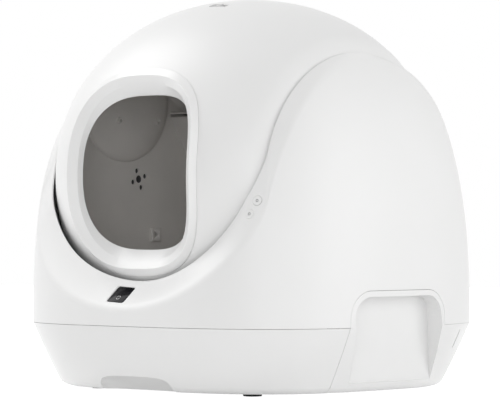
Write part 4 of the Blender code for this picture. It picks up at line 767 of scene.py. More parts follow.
def grained(name, colour, roughness, metallic=0.0, grain=700.0, bump=0.1):
    """A plain surface with a fine grain, a little uneven in tone and sheen."""
    tones = ([value * 0.92 for value in colour], [min(value * 1.06, 1) for value in colour])
    rough = (roughness * 0.88, roughness * 1.12)
    return moulded(name, tones, (20.0, 3.0), grain, rough, bump, metallic=metallic)


def turn_on_z(profile, steps, place):
    """Turns an open profile of (radius, z) points into a solid, and puts it in its place."""
    shape = bmesh.new()
    verts = [shape.verts.new((radius, 0, z)) for radius, z in profile]
    edges = [shape.edges.new(pair) for pair in zip(verts, verts[1:])]
    bmesh.ops.spin(shape, geom=verts + edges, cent=(0, 0, 0), axis=(0, 0, 1), angle=tau,
                   steps=steps, use_merge=True)
    bmesh.ops.remove_doubles(shape, verts=shape.verts, dist=SEW_REACH)
    return moved(faces_out(shape), place)


button_white = white_plastic("button_white", 0.86, 0.34)
mark_grey = grained("mark_grey", (0.16, 0.16, 0.165), 0.5)
flange_low = FLANGE_TOP - FLANGE_THICKNESS
profile = [(0, BUTTON_PROUD)]
profile += [(BUTTON_RADIUS - BUTTON_EDGE * out, BUTTON_PROUD - BUTTON_EDGE * down)
            for down, out in round_corner(4)]
profile += [(BUTTON_RADIUS, FLANGE_TOP), (FLANGE_RADIUS, FLANGE_TOP), (FLANGE_RADIUS, flange_low),
            (BUTTON_RADIUS / 2, flange_low), (BUTTON_RADIUS / 2, -BUTTON_DEPTH), (0, -BUTTON_DEPTH)]
for node, body in (("button_upper", "upper_button"), ("button_lower", "lower_button")):
    place = band_place(BUTTON_TURNS[node], BUTTON_ACROSS)
    button = make_piece(node + "_cap", turn_on_z(profile, HOLE_STEPS, place), button_white)
    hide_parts(node)
    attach(button, body)
    shape = ring_arc(DOT_RADIUS, DOT_WIDTH, tau, DOT_STEPS,
                     Matrix.Translation((0, 0, BUTTON_PROUD)), place)
    mark = make_piece(node + "_mark", shape, mark_grey)
    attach(mark, body)

# Tray: the white lower part, moulded in one piece 3 mm thick with a hand grip raised on
# each side. A grip is a recess over a leaning panel; the floor runs on under the drawer.
SPLIT_Y = -0.1205
TRAY_WALL = 0.003
TRAY_FLOOR = 0.004
TRAY_ROUND = 0.010
TRAY_ROUND_STEPS = 8
TRAY_COLUMNS = 192
TRAY_ROWS = 6
GRIP_LIP = 0.009
POCKET_FOOT_Z = 0.020
POCKET_FRONT_Y = -0.086
POCKET_REAR_Y = 0.118
POCKET_X = 0.2850
POCKET_LEAN = 0.0177
TONGUE_HALF_WIDTH = 0.2715
TONGUE_HALF_DEPTH = 0.2360
TONGUE_POINTS = 96
SLOT_TURN = radians(28.37)
SLOT_LOW = 0.070
SLOT_HIGH = 0.099
SLOT_WIDTH = 0.003
SLOT_LENGTH = 0.030
INLET_RADIUS = 0.008
INLET_AT = Vector((0.190, 0.2594, 0.045))
WELD_REACH = 0.0002
EDGE_ROUND = 0.0006


def plan_around(share, z, inset=0.0):
    """The outer wall's place a share of the way round, at a height."""
    x, y = rounded_loop(tau * share, PLAN_HALF_WIDTH, PLAN_HALF_DEPTH, PLAN_POWER)
    return plan_point(atan2(y, x), z, inset)


def tray_form(inset, low_z, high_z, foot_z=None):
    """The lower part's outer form, with a round bottom edge, up to a height."""
    levels = [] if foot_z is None else [(foot_z, inset + TRAY_ROUND)]
    levels += [(low_z + TRAY_ROUND * up, inset + TRAY_ROUND * across)
               for up, across in round_corner(TRAY_ROUND_STEPS)]
    for step in range(1, TRAY_ROWS + 1):
        levels.append((mix(low_z + TRAY_ROUND, min(SEAM_Z, high_z), step / TRAY_ROWS), inset))
    if high_z > SEAM_Z:
        levels.append((high_z, inset))
    return capped(TRAY_COLUMNS, len(levels) - 1,
                  lambda column, row: plan_around((column + 0.5) / TRAY_COLUMNS, *levels[row]))


def pocket(grow, side):
    """A grip's recess: a wedge outside a leaning panel."""
    foot_z = POCKET_FOOT_Z - grow
    outline = grip_outline(grow - GRIP_LIP, foot_z)
    outline[0] = (POCKET_FRONT_Y - grow, foot_z)
    outline[-1] = (POCKET_REAR_Y + grow, foot_z)
    lean = POCKET_LEAN / (GRIP_TOP_Z - GRIP_LIP - POCKET_FOOT_Z)

    def place(column, row):
        y, z = outline[column]
        inner = POCKET_X - grow + lean * (z - POCKET_FOOT_Z)
        return Vector((side * (inner if row == 0 else PLAN_HALF_WIDTH + OVERRUN), y, z))

    return capped(len(outline), 1, place)


def block(low, high, *moves):
    """A box between two corners, moved if that is asked for."""
    shape = bmesh.new()
    bmesh.ops.create_cube(shape, size=1)
    low, high = Vector(low), Vector(high)
    return moved(shape, Matrix.Diagonal((*(high - low), 1)), Matrix.Translation((low + high) / 2),
                 *moves)


def rod(radius, start, end, axis, place, steps=48):
    """A round bar along an axis, between two places on it."""
    shape = bmesh.new()
    bmesh.ops.create_cone(shape, cap_ends=True, segments=steps, radius1=radius, radius2=radius,
                          depth=end - start)
    turn = Matrix.Rotation(pi / 2, 4, "Y") if axis == "X" else Matrix.Rotation(-pi / 2, 4, "X")
    return moved(shape, Matrix.Translation((0, 0, (start + end) / 2)), turn, Matrix.Translation(place))


def drill(piece, radius, x, place, steps=32):
    """A round hole along X, right through a wall at x."""
    cut_by(piece, rod(radius, x - OVERRUN, x + OVERRUN, "X", place, steps))


def shape_of(piece):
    """A copy of a piece's mesh, to be worked on."""
    shape = bmesh.new()
    shape.from_mesh(piece.data)
    return shape


def weld(piece):
    """Joins points that cuts have left almost on one another."""
    shape = shape_of(piece)
    bmesh.ops.remove_doubles(shape, verts=shape.verts, dist=WELD_REACH)
    bmesh.ops.dissolve_degenerate(shape, edges=shape.edges, dist=WELD_REACH / 10)
    shape.to_mesh(piece.data)
    shape.free()


def without(shape, *taken):
    """A shape with other shapes cut out of it."""
    piece = make_piece("shape", shape, tray_white)
    for other in taken:
        cut_by(piece, other)
    rest = shape_of(piece)
    discard(piece)
    return rest


def tongue(high_z):
    """The part of the floor that runs forward under the drawer."""
    def place(column, row):
        angle = tau * column / TONGUE_POINTS
        loop = rounded_loop(angle, TONGUE_HALF_WIDTH, TONGUE_HALF_DEPTH, PLAN_POWER)
        return Vector((*loop, (TRAY_BOTTOM_Z, high_z)[row]))
    return capped(TONGUE_POINTS, 1, place)


tray_white = white_plastic("tray_white", 0.86, 0.4)
top_z = GRIP_TOP_Z + OVERRUN / 2
over_z = top_z + OVERRUN
floor_z = TRAY_BOTTOM_Z + TRAY_FLOOR
depth = PLAN_HALF_DEPTH + OVERRUN
tray = make_piece("tray", tray_form(0, TRAY_BOTTOM_Z, top_z), tray_white)
outline = [(-depth, SEAM_Z)] + grip_outline() + [(depth, SEAM_Z), (depth, over_z), (-depth, over_z)]
cut_by(tray, slab([(-reach, y, z) for y, z in outline], (2 * reach, 0, 0)))
hollow = tray_form(TRAY_WALL, floor_z, over_z)
cut_by(tray, without(hollow, pocket(TRAY_WALL, 1), pocket(TRAY_WALL, -1)))
slot_at = plan_point(SLOT_TURN, (SLOT_LOW + SLOT_HIGH) / 2)
half = Vector((SLOT_LENGTH, SLOT_WIDTH, 0)) / 2
for side in (1, -1):
    cut_by(tray, pocket(0, side))
    cut_by(tray, block(Vector((0, 0, SLOT_LOW)) - half, Vector((0, 0, SLOT_HIGH)) + half,
                       Matrix.Rotation(SLOT_TURN if side > 0 else pi - SLOT_TURN, 4, "Z"),
                       Matrix.Translation((side * slot_at.x, slot_at.y, 0))))
before_split = block((-reach, -depth, -OVERRUN), (reach, SPLIT_Y, SEAM_Z + OVERRUN))
cut_by(tray, without(before_split, tongue(floor_z)))
cut_by(tray, rod(INLET_RADIUS + SEAT_GAP, -OVERRUN, OVERRUN, "Y", INLET_AT))
weld(tray)
smooth_edges(tray, EDGE_ROUND, segments=2, angle=40)
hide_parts("base_pan")
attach(tray, "housing")

# Drawer: the wrap-round front, moulded white with a scoop for the fingers under it and two
# arms back to the dark bin, and a grey ring that holds the bag in the bin.
SEAM_GAP = 0.0003
SLIDE_GAP = 0.0008
NOTCH_AT = Vector((0, -0.2680, 0.002))
NOTCH_RADIUS = 0.028
NOTCH_HALF_WIDTH = 0.080
NOTCH_POWER = 4.0
NOTCH_COLUMNS = 64
NOTCH_ROWS = 40
NOTCH_END = 0.998
ARM_X = 0.130
ARM_WIDTH = 0.020
ARM_FRONT_Y = -0.2689
ARM_LOW = 0.036
ARM_HIGH = 0.050
BIN_HALF_WIDTH = 0.200
BIN_FRONT_Y = -0.2240
BIN_REAR_Y = 0.2150
BIN_FLOOR_Z = 0.010
BIN_WALL = 0.0025
BIN_DRUM_GAP = 0.003
BIN_CORNER = 0.012
BIN_EDGE = 0.0009
BIN_RIM_POINTS = 40
RING_LOW = 0.028
RING_HIGH = 0.036
RING_WIDTH = 0.006
RING_EDGE = 0.0022


def notch(grow):
    """The scoop for the fingers."""
    def place(column, row):
        share = -cos(pi * row / NOTCH_ROWS) * NOTCH_END
        radius = NOTCH_RADIUS * (1 - abs(share) ** NOTCH_POWER) ** (1 / NOTCH_POWER) + grow
        angle = tau * column / NOTCH_COLUMNS
        return NOTCH_AT + Vector((share * (NOTCH_HALF_WIDTH + grow), radius * cos(angle),
                                  radius * sin(angle)))
    return capped(NOTCH_COLUMNS, NOTCH_ROWS, place)


def rounded_block(low, high, width, segments=3):
    """A box with all of its edges rounded."""
    shape = block(low, high)
    return bevel(shape, shape.edges, width, segments)


shape = tray_form(0, TRAY_BOTTOM_Z, SEAM_Z - SEAM_GAP)
drawer_front = make_piece("drawer_front_panel", shape, tray_white)
space = tray_form(TRAY_WALL, TRAY_BOTTOM_Z, SEAM_Z + OVERRUN, TRAY_BOTTOM_Z - OVERRUN)
cut_by(drawer_front, without(space, notch(TRAY_WALL)))
cut_by(drawer_front, notch(0))
cut_by(drawer_front, block((-reach, SPLIT_Y - SLIDE_GAP, -OVERRUN), (reach, depth, SEAM_Z + OVERRUN)))
half = ARM_WIDTH / 2
for x in (-ARM_X, ARM_X):
    arm = block((x - half, ARM_FRONT_Y, ARM_LOW), (x + half, BIN_FRONT_Y - SEAT_GAP, ARM_HIGH))
    cut_by(drawer_front, arm, "UNION")
weld(drawer_front)
smooth_edges(drawer_front, EDGE_ROUND, segments=2, angle=40)
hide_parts("drawer_front")
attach(drawer_front, "drawer")

bin_grey = matte_plastic("bin_grey", 0.10)
outline = [(BIN_HALF_WIDTH, BIN_FRONT_Y, BIN_FLOOR_Z), (-BIN_HALF_WIDTH, BIN_FRONT_Y, BIN_FLOOR_Z)]
for step in range(BIN_RIM_POINTS + 1):
    x = mix(-BIN_HALF_WIDTH, BIN_HALF_WIDTH, step / BIN_RIM_POINTS)
    outline.append((x, BIN_FRONT_Y, AXIS.z - edge_radius(x) - BIN_DRUM_GAP))
tub = make_piece("waste_bin", slab(outline, (0, BIN_REAR_Y - BIN_FRONT_Y, 0)), bin_grey)
inside_x = BIN_HALF_WIDTH - BIN_WALL
front_y = BIN_FRONT_Y + BIN_WALL
rear_y = BIN_REAR_Y - BIN_WALL
cut_by(tub, rounded_block((-inside_x, front_y, BIN_FLOOR_Z + BIN_WALL),
                          (inside_x, rear_y, SEAM_Z + 2 * OVERRUN), BIN_CORNER, segments=6))
weld(tub)
smooth_edges(tub, BIN_EDGE)
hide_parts("drawer_bin")
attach(tub, "drawer")

part_grey = grained("part_grey", (0.42, 0.42, 0.43), 0.5)
low = Vector((SEAT_GAP - inside_x, front_y + SEAT_GAP, RING_LOW))
high = Vector((inside_x - SEAT_GAP, rear_y - SEAT_GAP, RING_HIGH))
hoop = make_piece("bag_hoop", block(low, high), part_grey)
shape = shape_of(hoop)
upright = [edge for edge in shape.edges
           if abs(edge.verts[0].co.z - edge.verts[1].co.z) > RING_HIGH - RING_LOW - SEAT_GAP]
bevel(shape, upright, BIN_CORNER, segments=6)
shape.to_mesh(hoop.data)
shape.free()
margin = Vector((RING_WIDTH, RING_WIDTH, -OVERRUN))
cut_by(hoop, rounded_block(low + margin, high - margin, BIN_CORNER / 2, segments=5))
smooth_edges(hoop, RING_EDGE, segments=4)
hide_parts("bag_ring")
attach(hoop, "drawer")

# Runners: two grey strips screwed to the tray's floor, which keep the drawer straight.
RAIL_X = 0.2008
RAIL_WIDTH = 0.0087
RAIL_FRONT_Y = -0.1850
RAIL_REAR_Y = 0.2050
RAIL_LOW = 0.0098
RAIL_HEIGHT = 0.020
RAIL_EDGE = 0.0007
RAIL_GROOVE = 0.0025
SIDES = ((1, "right"), (-1, "left"))

groove_z = RAIL_LOW + RAIL_HEIGHT - RAIL_GROOVE
for side, name in SIDES:
    low_x, high_x = sorted((side * RAIL_X, side * (RAIL_X + RAIL_WIDTH)))
    shape = block((low_x, RAIL_FRONT_Y, RAIL_LOW), (high_x, RAIL_REAR_Y, RAIL_LOW + RAIL_HEIGHT))
    rail = make_piece("runner_" + name, shape, part_grey)
    middle = (low_x + high_x) / 2
    cut_by(rail, block((middle - RAIL_GROOVE / 2, RAIL_FRONT_Y - OVERRUN, groove_z),
                       (middle + RAIL_GROOVE / 2, RAIL_REAR_Y + OVERRUN, groove_z + OVERRUN)))
    smooth_edges(rail, RAIL_EDGE)
    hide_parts("rail_" + name)
    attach(rail, "housing")

# Feet: four round black rubber pads glued under the tray, each with a round groove.
FOOT_X = 0.171
FOOT_Y = 0.179
FOOT_RADIUS = 0.015
FOOT_HEIGHT = 0.0052
FOOT_ROUND = 0.0012
FOOT_GROOVE = (0.0070, 0.0085, 0.0008)
FOOT_STEPS = 56

rubber_black = grained("rubber_black", (0.018, 0.018, 0.019), 0.8, grain=1800.0, bump=0.25)
inner, outer, top = FOOT_GROOVE
profile = [(0, 0), (inner, 0), (inner, top), (outer, top), (outer, 0)]
profile += [(FOOT_RADIUS - FOOT_ROUND * across, FOOT_ROUND * up) for up, across in round_corner(4)]
profile += [(FOOT_RADIUS, FOOT_HEIGHT), (0, FOOT_HEIGHT)]
for name, x, y in (("front_left", -FOOT_X, -FOOT_Y), ("front_right", FOOT_X, -FOOT_Y),
                   ("rear_left", -FOOT_X, FOOT_Y), ("rear_right", FOOT_X, FOOT_Y)):
    foot = make_piece("pad_" + name, turn_on_z(profile, FOOT_STEPS, Matrix.Translation((x, y, 0))),
                      rubber_black)
    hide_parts("foot_" + name)
    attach(foot, "housing")

# Power inlet: a black moulded barrel socket in the tray's rear wall, with its steel pin.
INLET_BORE = 0.0035
INLET_BORE_DEPTH = -0.005
INLET_PROUD = 0.003
INLET_INNER = -0.013
INLET_ROUND = 0.0005
PIN_RADIUS = 0.0010
PIN_END = 0.0018
PIN_STEPS = 24

inlet_black = grained("inlet_black", (0.012, 0.012, 0.013), 0.3)
steel = grained("steel", (0.55, 0.55, 0.56), 0.32, metallic=1.0, grain=900.0, bump=0.06)
inlet_place = Matrix.Translation(INLET_AT) @ Matrix.Rotation(-pi / 2, 4, "X")
profile = [(0, INLET_INNER), (INLET_RADIUS, INLET_INNER), (INLET_RADIUS, INLET_PROUD - INLET_ROUND),
           (INLET_RADIUS - INLET_ROUND, INLET_PROUD), (INLET_BORE + INLET_ROUND, INLET_PROUD),
           (INLET_BORE, INLET_PROUD - INLET_ROUND), (INLET_BORE, INLET_BORE_DEPTH), (0, INLET_BORE_DEPTH)]
socket = make_piece("socket", turn_on_z(profile, FOOT_STEPS, inlet_place), inlet_black)
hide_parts("power_inlet")
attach(socket, "housing")
profile = [(0, INLET_BORE_DEPTH), (PIN_RADIUS, INLET_BORE_DEPTH), (PIN_RADIUS, PIN_END - PIN_RADIUS / 2),
           (PIN_RADIUS / 2, PIN_END), (0, PIN_END)]
pin = make_piece("socket_pin", turn_on_z(profile, PIN_STEPS, inlet_place), steel)
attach(pin, "housing")

# Chamber's ends: the dished walls welded into the barrel's ends, moulded in the same grey,
# with a centre hole and four screw holes for the stub shaft.
DISH = ((0.2363, 0.1925), (0.2470, 0.1834), (0.2570, 0.1600), (0.2570, 0.0065),
        (0.2540, 0.0065), (0.2540, 0.1585), (0.2455, 0.1804), (0.2363, 0.1895))
DISH_ROUND = 0.0022
SCREW_HOLE_RADIUS = 0.0045
SCREW_CIRCLE = 0.015
SCREW_TURNS = [radians(20 + 90 * index) for index in range(4)]


def drill_for_screws(piece, x):
    """The four screw holes of a stub shaft, through a wall at x."""
    for turn in SCREW_TURNS:
        place = AXIS + SCREW_CIRCLE * Vector((0, cos(turn), sin(turn)))
        drill(piece, SCREW_HOLE_RADIUS, x, place)


for side, name in SIDES:
    shape = turn_about_axis(DISH, LINER_STEPS, side)
    dish = make_piece("chamber_end_" + name, shape, chamber_grey)
    smooth_edges(dish, DISH_ROUND, angle=20)
    drill_for_screws(dish, side * DISH[2][0])
    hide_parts("drum_end_" + name)
    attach(dish, "drum")

# Filter dome: a round moulded cover over the odour filter on the chamber's left wall, held
# by two screws in short bosses, with a fine shadow line where it meets the wall.
FILTER_AT = Vector((-0.2540, -0.037, 0.131))
FILTER_RADIUS = 0.102
FILTER_BULGE = 0.030
FILTER_BOSS_RADIUS = 0.006
FILTER_BOSS_PROUD = 0.004
FILTER_BOSS_DROP = 0.033
FILTER_BOSS_OFFSETS = (-0.036, 0.058)
FILTER_SCREW_RADIUS = 0.0028
FILTER_SCREW_DEPTH = 0.005
FILTER_EDGE = 0.0006
ROOM_GAP = 0.0003
ROOM_STATIONS = 24


def chamber_room():
    """The space inside the chamber, for trimming what fits in it."""
    half = []
    for step in range(ROOM_STATIONS + 1):
        x = LINER_HALF_WIDTH * step / ROOM_STATIONS
        half.append((liner_radius(x) - LINER_WALL - ROOM_GAP, x))
    half += [(radius - 2 * ROOM_GAP, x - ROOM_GAP) for x, radius in DISH[:4:-1]]
    half.append((0, DISH[5][0] - ROOM_GAP))
    profile = [(radius, -x) for radius, x in reversed(half[1:])] + half
    along_axis = Matrix.Translation(AXIS) @ Matrix.Rotation(pi / 2, 4, "Y")
    return turn_on_z(profile, LINER_STEPS, along_axis)


shape = bmesh.new()
bmesh.ops.create_uvsphere(shape, u_segments=96, v_segments=48, radius=1.0)
moved(shape, Matrix.Rotation(pi / 2, 4, "Y"),
      Matrix.Diagonal((FILTER_BULGE, FILTER_RADIUS, FILTER_RADIUS, 1)),
      Matrix.Translation(AXIS + FILTER_AT))
cover = make_piece("filter_cover", shape, chamber_grey)
cut_by(cover, chamber_room(), "INTERSECT")
for offset in FILTER_BOSS_OFFSETS:
    share = hypot(offset, FILTER_BOSS_DROP) / FILTER_RADIUS
    top = FILTER_AT.x + FILTER_BULGE * sqrt(1 - share ** 2) + FILTER_BOSS_PROUD
    place = AXIS + Vector((0, FILTER_AT.y + offset, FILTER_AT.z - FILTER_BOSS_DROP))
    boss = rod(FILTER_BOSS_RADIUS, top - 2 * FILTER_BOSS_RADIUS, top, "X", place, steps=40)
    cut_by(cover, boss, "UNION")
    cut_by(cover, rod(FILTER_SCREW_RADIUS, top - FILTER_SCREW_DEPTH, top + OVERRUN, "X", place, steps=32))
weld(cover)
smooth_edges(cover, FILTER_EDGE, segments=2)
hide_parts("filter_dome")
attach(cover, "drum")

# Sieve and storage panel: the slotted screen that clean litter falls through when the drum
# turns, and the flat wall behind it that holds the litter back. Both are moulded grey.
PANEL_CORNER = Vector((0, 0.076, 0.113))
PANEL_WALL = 0.003
PANEL_EDGE = 0.0006
SIEVE_LEAN = radians(58.6)
SIEVE_END_GAP = 0.004
SIEVE_SLOTS = 20
SIEVE_PITCH = 0.0210
SIEVE_SLOT_WIDTH = 0.0090
SIEVE_SLOT_START = 0.035
SIEVE_SLOT_END = 0.2323
SLOT_END_STEPS = 8


def half_circle(radius, start, steps):
    """Points along half a circle round the origin."""
    turns = [start + pi * step / steps for step in range(steps + 1)]
    return [(radius * cos(turn), radius * sin(turn)) for turn in turns]


half = DISH[2][0]
shape = block((-half, PANEL_CORNER.y, PANEL_CORNER.z), (half, DRUM_RADIUS, PANEL_CORNER.z + PANEL_WALL),
              Matrix.Translation(AXIS))
panel = make_piece("litter_wall", shape, chamber_grey)
cut_by(panel, chamber_room(), "INTERSECT")
smooth_edges(panel, PANEL_EDGE, segments=2)
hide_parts("storage_panel")
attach(panel, "drum")

lean = Matrix.Rotation(-SIEVE_LEAN, 4, "X")
corner = AXIS + PANEL_CORNER - Vector((0, 0, SLIDE_GAP))
shape = block((-half, SIEVE_END_GAP, -PANEL_WALL), (half, DRUM_RADIUS + OVERRUN, 0), lean,
              Matrix.Translation(corner))
screen = make_piece("litter_screen", shape, chamber_grey)
cut_by(screen, chamber_room(), "INTERSECT")
half = SIEVE_SLOT_WIDTH / 2
for index in range(SIEVE_SLOTS):
    x = (index - (SIEVE_SLOTS - 1) / 2) * SIEVE_PITCH
    outline = []
    for end, start in ((SIEVE_SLOT_END - half, 0), (SIEVE_SLOT_START + half, pi)):
        outline += [corner + lean @ Vector((x + across, end + along, -OVERRUN))
                    for across, along in half_circle(half, start, SLOT_END_STEPS)]
    cut_by(screen, slab(outline, lean @ Vector((0, 0, 2 * OVERRUN))))
smooth_edges(screen, PANEL_EDGE, segments=2)
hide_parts("sieve")
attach(screen, "drum")

# Clip: a small moulded block low on the chamber's left wall, held by one screw.
CLIP_AT = Vector((-0.2537, 0.0365, -0.0950))
CLIP_SIZE = Vector((0.006, 0.022, 0.023))
CLIP_EDGE = 0.0010
CLIP_HOLE = 0.0016

half = Vector((0, CLIP_SIZE.y / 2, CLIP_SIZE.z / 2))
low = AXIS + CLIP_AT - half
clip = make_piece("wall_tab", rounded_block(low, low + CLIP_SIZE, CLIP_EDGE), chamber_grey)
cut_by(clip, rod(CLIP_HOLE, CLIP_AT.x + CLIP_SIZE.x / 2, CLIP_AT.x + OVERRUN, "X",
                 (0, low.y + half.y, low.z + half.z), steps=24))
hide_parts("wall_clip")
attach(clip, "drum")

# Latch: a grey slider near the top of the barrel, whose plate runs under the drum's wall
# and whose ribbed thumb piece moves in a slot in it.
LATCH_TURN = radians(17.3)
LATCH_SLOT_LENGTH = 0.036
LATCH_SLOT_WIDTH = 0.012
LATCH_TRAVEL = 0.012
LATCH_PLATE_TOP = 0.2860
LATCH_PLATE = 0.002
LATCH_OVERLAP = 0.003
LATCH_TOP = 0.2942
LATCH_EDGE = 0.0007
LATCH_GROOVES = 3
LATCH_GROOVE = 0.0010
LATCH_GROOVE_PITCH = 0.0030

on_drum = (Matrix.Rotation(LATCH_TURN, 4, "X"), Matrix.Translation(AXIS))
half = LATCH_SLOT_WIDTH / 2
cut_by(drum, block((0, -half, DRUM_RADIUS - OVERRUN / 2),
                   (LATCH_SLOT_LENGTH, half, DRUM_RADIUS + OVERRUN), *on_drum))
low_x = SEAT_GAP
high_x = LATCH_SLOT_LENGTH - LATCH_TRAVEL - SEAT_GAP
middle = (low_x + high_x) / 2
half -= SEAT_GAP
shape = rounded_block((low_x, -half, LATCH_PLATE_TOP - LATCH_PLATE / 2), (high_x, half, LATCH_TOP),
                      LATCH_EDGE)
slider = make_piece("latch_slider", moved(shape, *on_drum),
                    grained("slider_grey", (0.66, 0.66, 0.66), 0.45))
half_length = LATCH_SLOT_LENGTH / 2 + LATCH_OVERLAP
half_width = LATCH_SLOT_WIDTH / 2 + LATCH_OVERLAP
cut_by(slider, block((middle - half_length, -half_width, LATCH_PLATE_TOP - LATCH_PLATE),
                     (middle + half_length, half_width, LATCH_PLATE_TOP), *on_drum), "UNION")
for index in range(LATCH_GROOVES):
    x = middle + (index - (LATCH_GROOVES - 1) / 2) * LATCH_GROOVE_PITCH
    cut_by(slider, block((x - LATCH_GROOVE / 2, -OVERRUN, LATCH_TOP - LATCH_GROOVE),
                         (x + LATCH_GROOVE / 2, OVERRUN, LATCH_TOP + OVERRUN), *on_drum))
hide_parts("drum_latch")
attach(slider, "latch")

# Stub shafts: a grey flanged shaft on each end of the chamber, bored through, with four
# screw holes in its flange that meet the chamber's.
HUB_START = 0.2573
HUB_FLANGE = 0.005
HUB_FLANGE_RADIUS = 0.028
SHAFT_RADIUS = 0.010
SHAFT_END = 0.2850
HUB_BORE = 0.0065
HUB_ROUND = 0.0005
SHAFT_STEPS = 72

hub_grey = grained("hub_grey", (0.12, 0.12, 0.122), 0.55)
flange_end = HUB_START + HUB_FLANGE
profile = [(HUB_START, HUB_FLANGE_RADIUS), (flange_end, HUB_FLANGE_RADIUS), (flange_end, SHAFT_RADIUS),
           (SHAFT_END, SHAFT_RADIUS), (SHAFT_END, HUB_BORE), (HUB_START, HUB_BORE)]
for side, name in SIDES:
    shape = turn_about_axis(profile, SHAFT_STEPS, side)
    hub = make_piece("stub_shaft_" + name, shape, hub_grey)
    smooth_edges(hub, HUB_ROUND, segments=2)
    drill_for_screws(hub, side * HUB_START)
    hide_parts("hub_" + name)
    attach(hub, "drum")

# Drive: a large moulded ring gear on the right end of the chamber, and a small steel
# pinion on the motor's shaft that turns it. The teeth are involutes.
GEAR_MODULE = 0.0044002
RING_TEETH = 60
PINION_TEETH = 10
PRESSURE = radians(25)
ADDENDUM = 0.8
DEDENDUM = 1.02
BACKLASH = 0.0004
GEAR_WIDTH = 0.0120
RING_BORE = 0.1180
PINION_BORE = 0.0043
PINION_TURN = radians(-50)
PINION_AT = Vector((0, 0.0912, 0.2288))
FLANK_STEPS = 5
TOOTH_EDGE = 0.0003


def teeth_outline(teeth, first_turn):
    """A spur gear's outline as (y, z) points, with one tooth at the first turn."""
    pitch = GEAR_MODULE * teeth / 2
    base = pitch * cos(PRESSURE)
    root = pitch - DEDENDUM * GEAR_MODULE
    tip = pitch + ADDENDUM * GEAR_MODULE
    half_tooth = (pi * GEAR_MODULE / 2 - BACKLASH) / 2 / pitch
    start = max(base, root)
    radii = [mix(start, tip, step / FLANK_STEPS) for step in range(FLANK_STEPS + 1)]
    if root < base:
        radii = [root] + radii
    flank = []
    for radius in radii:
        angle = acos(min(base / radius, 1))
        flank.append((radius, half_tooth + tan(PRESSURE) - PRESSURE - tan(angle) + angle))
    points = []
    for tooth in range(teeth):
        middle = first_turn + tau * tooth / teeth
        points += [(radius * cos(middle - spread), radius * sin(middle - spread))
                   for radius, spread in flank]
        points += [(radius * cos(middle + spread), radius * sin(middle + spread))
                   for radius, spread in reversed(flank)]
    return points


def gear(name, teeth, first_turn, centre, look):
    """A spur gear on the shafts' line, cut from a plate."""
    outline = [centre + Vector((HUB_START, y, z)) for y, z in teeth_outline(teeth, first_turn)]
    return make_piece(name, slab(outline, (GEAR_WIDTH, 0, 0)), look)


gear_white = grained("gear_white", (0.62, 0.61, 0.57), 0.45)
ring_gear = gear("gear_ring", RING_TEETH, PINION_TURN + pi / RING_TEETH, AXIS, gear_white)
drill(ring_gear, RING_BORE, HUB_START, AXIS, steps=144)
smooth_edges(ring_gear, TOOTH_EDGE, segments=1, angle=60)
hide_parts("ring_gear")
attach(ring_gear, "drum")
pinion = gear("motor_pinion", PINION_TEETH, PINION_TURN + pi, PINION_AT, steel)
drill(pinion, PINION_BORE, HUB_START, PINION_AT, steps=40)
smooth_edges(pinion, TOOTH_EDGE, segments=1, angle=60)
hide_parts("drive_pinion")
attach(pinion, "pinion")

# Brackets and bearings: two upright grey plates on the tray's floor, which hold the steel
# ball bearings of the stub shafts; the right one also carries the motor.
BRACKET_X = 0.2715
BRACKET_WALL = 0.008
BRACKET_FOOT = 0.085
BRACKET_WAIST = 0.110
BRACKET_WAIST_Z = 0.100
BRACKET_TOP_RADIUS = 0.034
BRACKET_TOP_STEPS = 24
BRACKET_EDGE = 0.0010
BEARING_RADIUS = 0.018
BEARING_HALF_WIDTH = 0.00575
RACE_WALL = 0.0022
SEAL_INSET = 0.0006
MOTOR_SHAFT = 0.004
GEARBOX_DEPTH = 0.060
GEARBOX_HEIGHT = 0.066

foot_z = floor_z + SEAT_GAP
for side, name in ((1, "drive_bracket"), (-1, "idler_bracket")):
    outline = [(AXIS.y - BRACKET_FOOT, foot_z), (AXIS.y + BRACKET_FOOT, foot_z)]
    if side > 0:
        edge_y = PINION_AT.y + GEARBOX_DEPTH / 2
        outline += [(edge_y, BRACKET_WAIST_Z), (edge_y, PINION_AT.z + GEARBOX_HEIGHT / 2)]
    else:
        outline.append((AXIS.y + BRACKET_WAIST, BRACKET_WAIST_Z))
    outline += [(AXIS.y + y, AXIS.z + z) for y, z in half_circle(BRACKET_TOP_RADIUS, 0, BRACKET_TOP_STEPS)]
    outline.append((AXIS.y - BRACKET_WAIST, BRACKET_WAIST_Z))
    shape = slab([(side * BRACKET_X, y, z) for y, z in outline], (side * BRACKET_WALL, 0, 0))
    plate = make_piece(name + "_plate", shape, part_grey)
    low, high = sorted((side * (BRACKET_X - OVERRUN), side * (BRACKET_X + BRACKET_WALL + OVERRUN)))
    cut_by(plate, rod(BEARING_RADIUS + SEAT_GAP, low, high, "X", AXIS, steps=64))
    if side > 0:
        cut_by(plate, rod(MOTOR_SHAFT + SEAT_GAP, low, high, "X", PINION_AT, steps=40))
    cut_by(plate, tray_form(TRAY_WALL + SEAT_GAP, foot_z, AXIS.z + DRUM_RADIUS / 2), "INTERSECT")
    smooth_edges(plate, BRACKET_EDGE, segments=2)
    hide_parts(name)
    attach(plate, "housing")

middle = BRACKET_X + BRACKET_WALL / 2
half = BEARING_HALF_WIDTH
seal = half - SEAL_INSET
inner = SHAFT_RADIUS + SEAT_GAP
low, high = inner + RACE_WALL, BEARING_RADIUS - RACE_WALL
section = ((-half, BEARING_RADIUS), (half, BEARING_RADIUS), (half, high), (seal, high), (seal, low),
           (half, low), (half, inner), (-half, inner), (-half, low), (-seal, low), (-seal, high),
           (-half, high))
profile = [(middle + x, radius) for x, radius in section]
for side, name in SIDES:
    race = make_piece("ball_bearing_" + name, turn_about_axis(profile, SHAFT_STEPS, side), steel)
    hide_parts("bearing_" + name)
    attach(race, "housing")

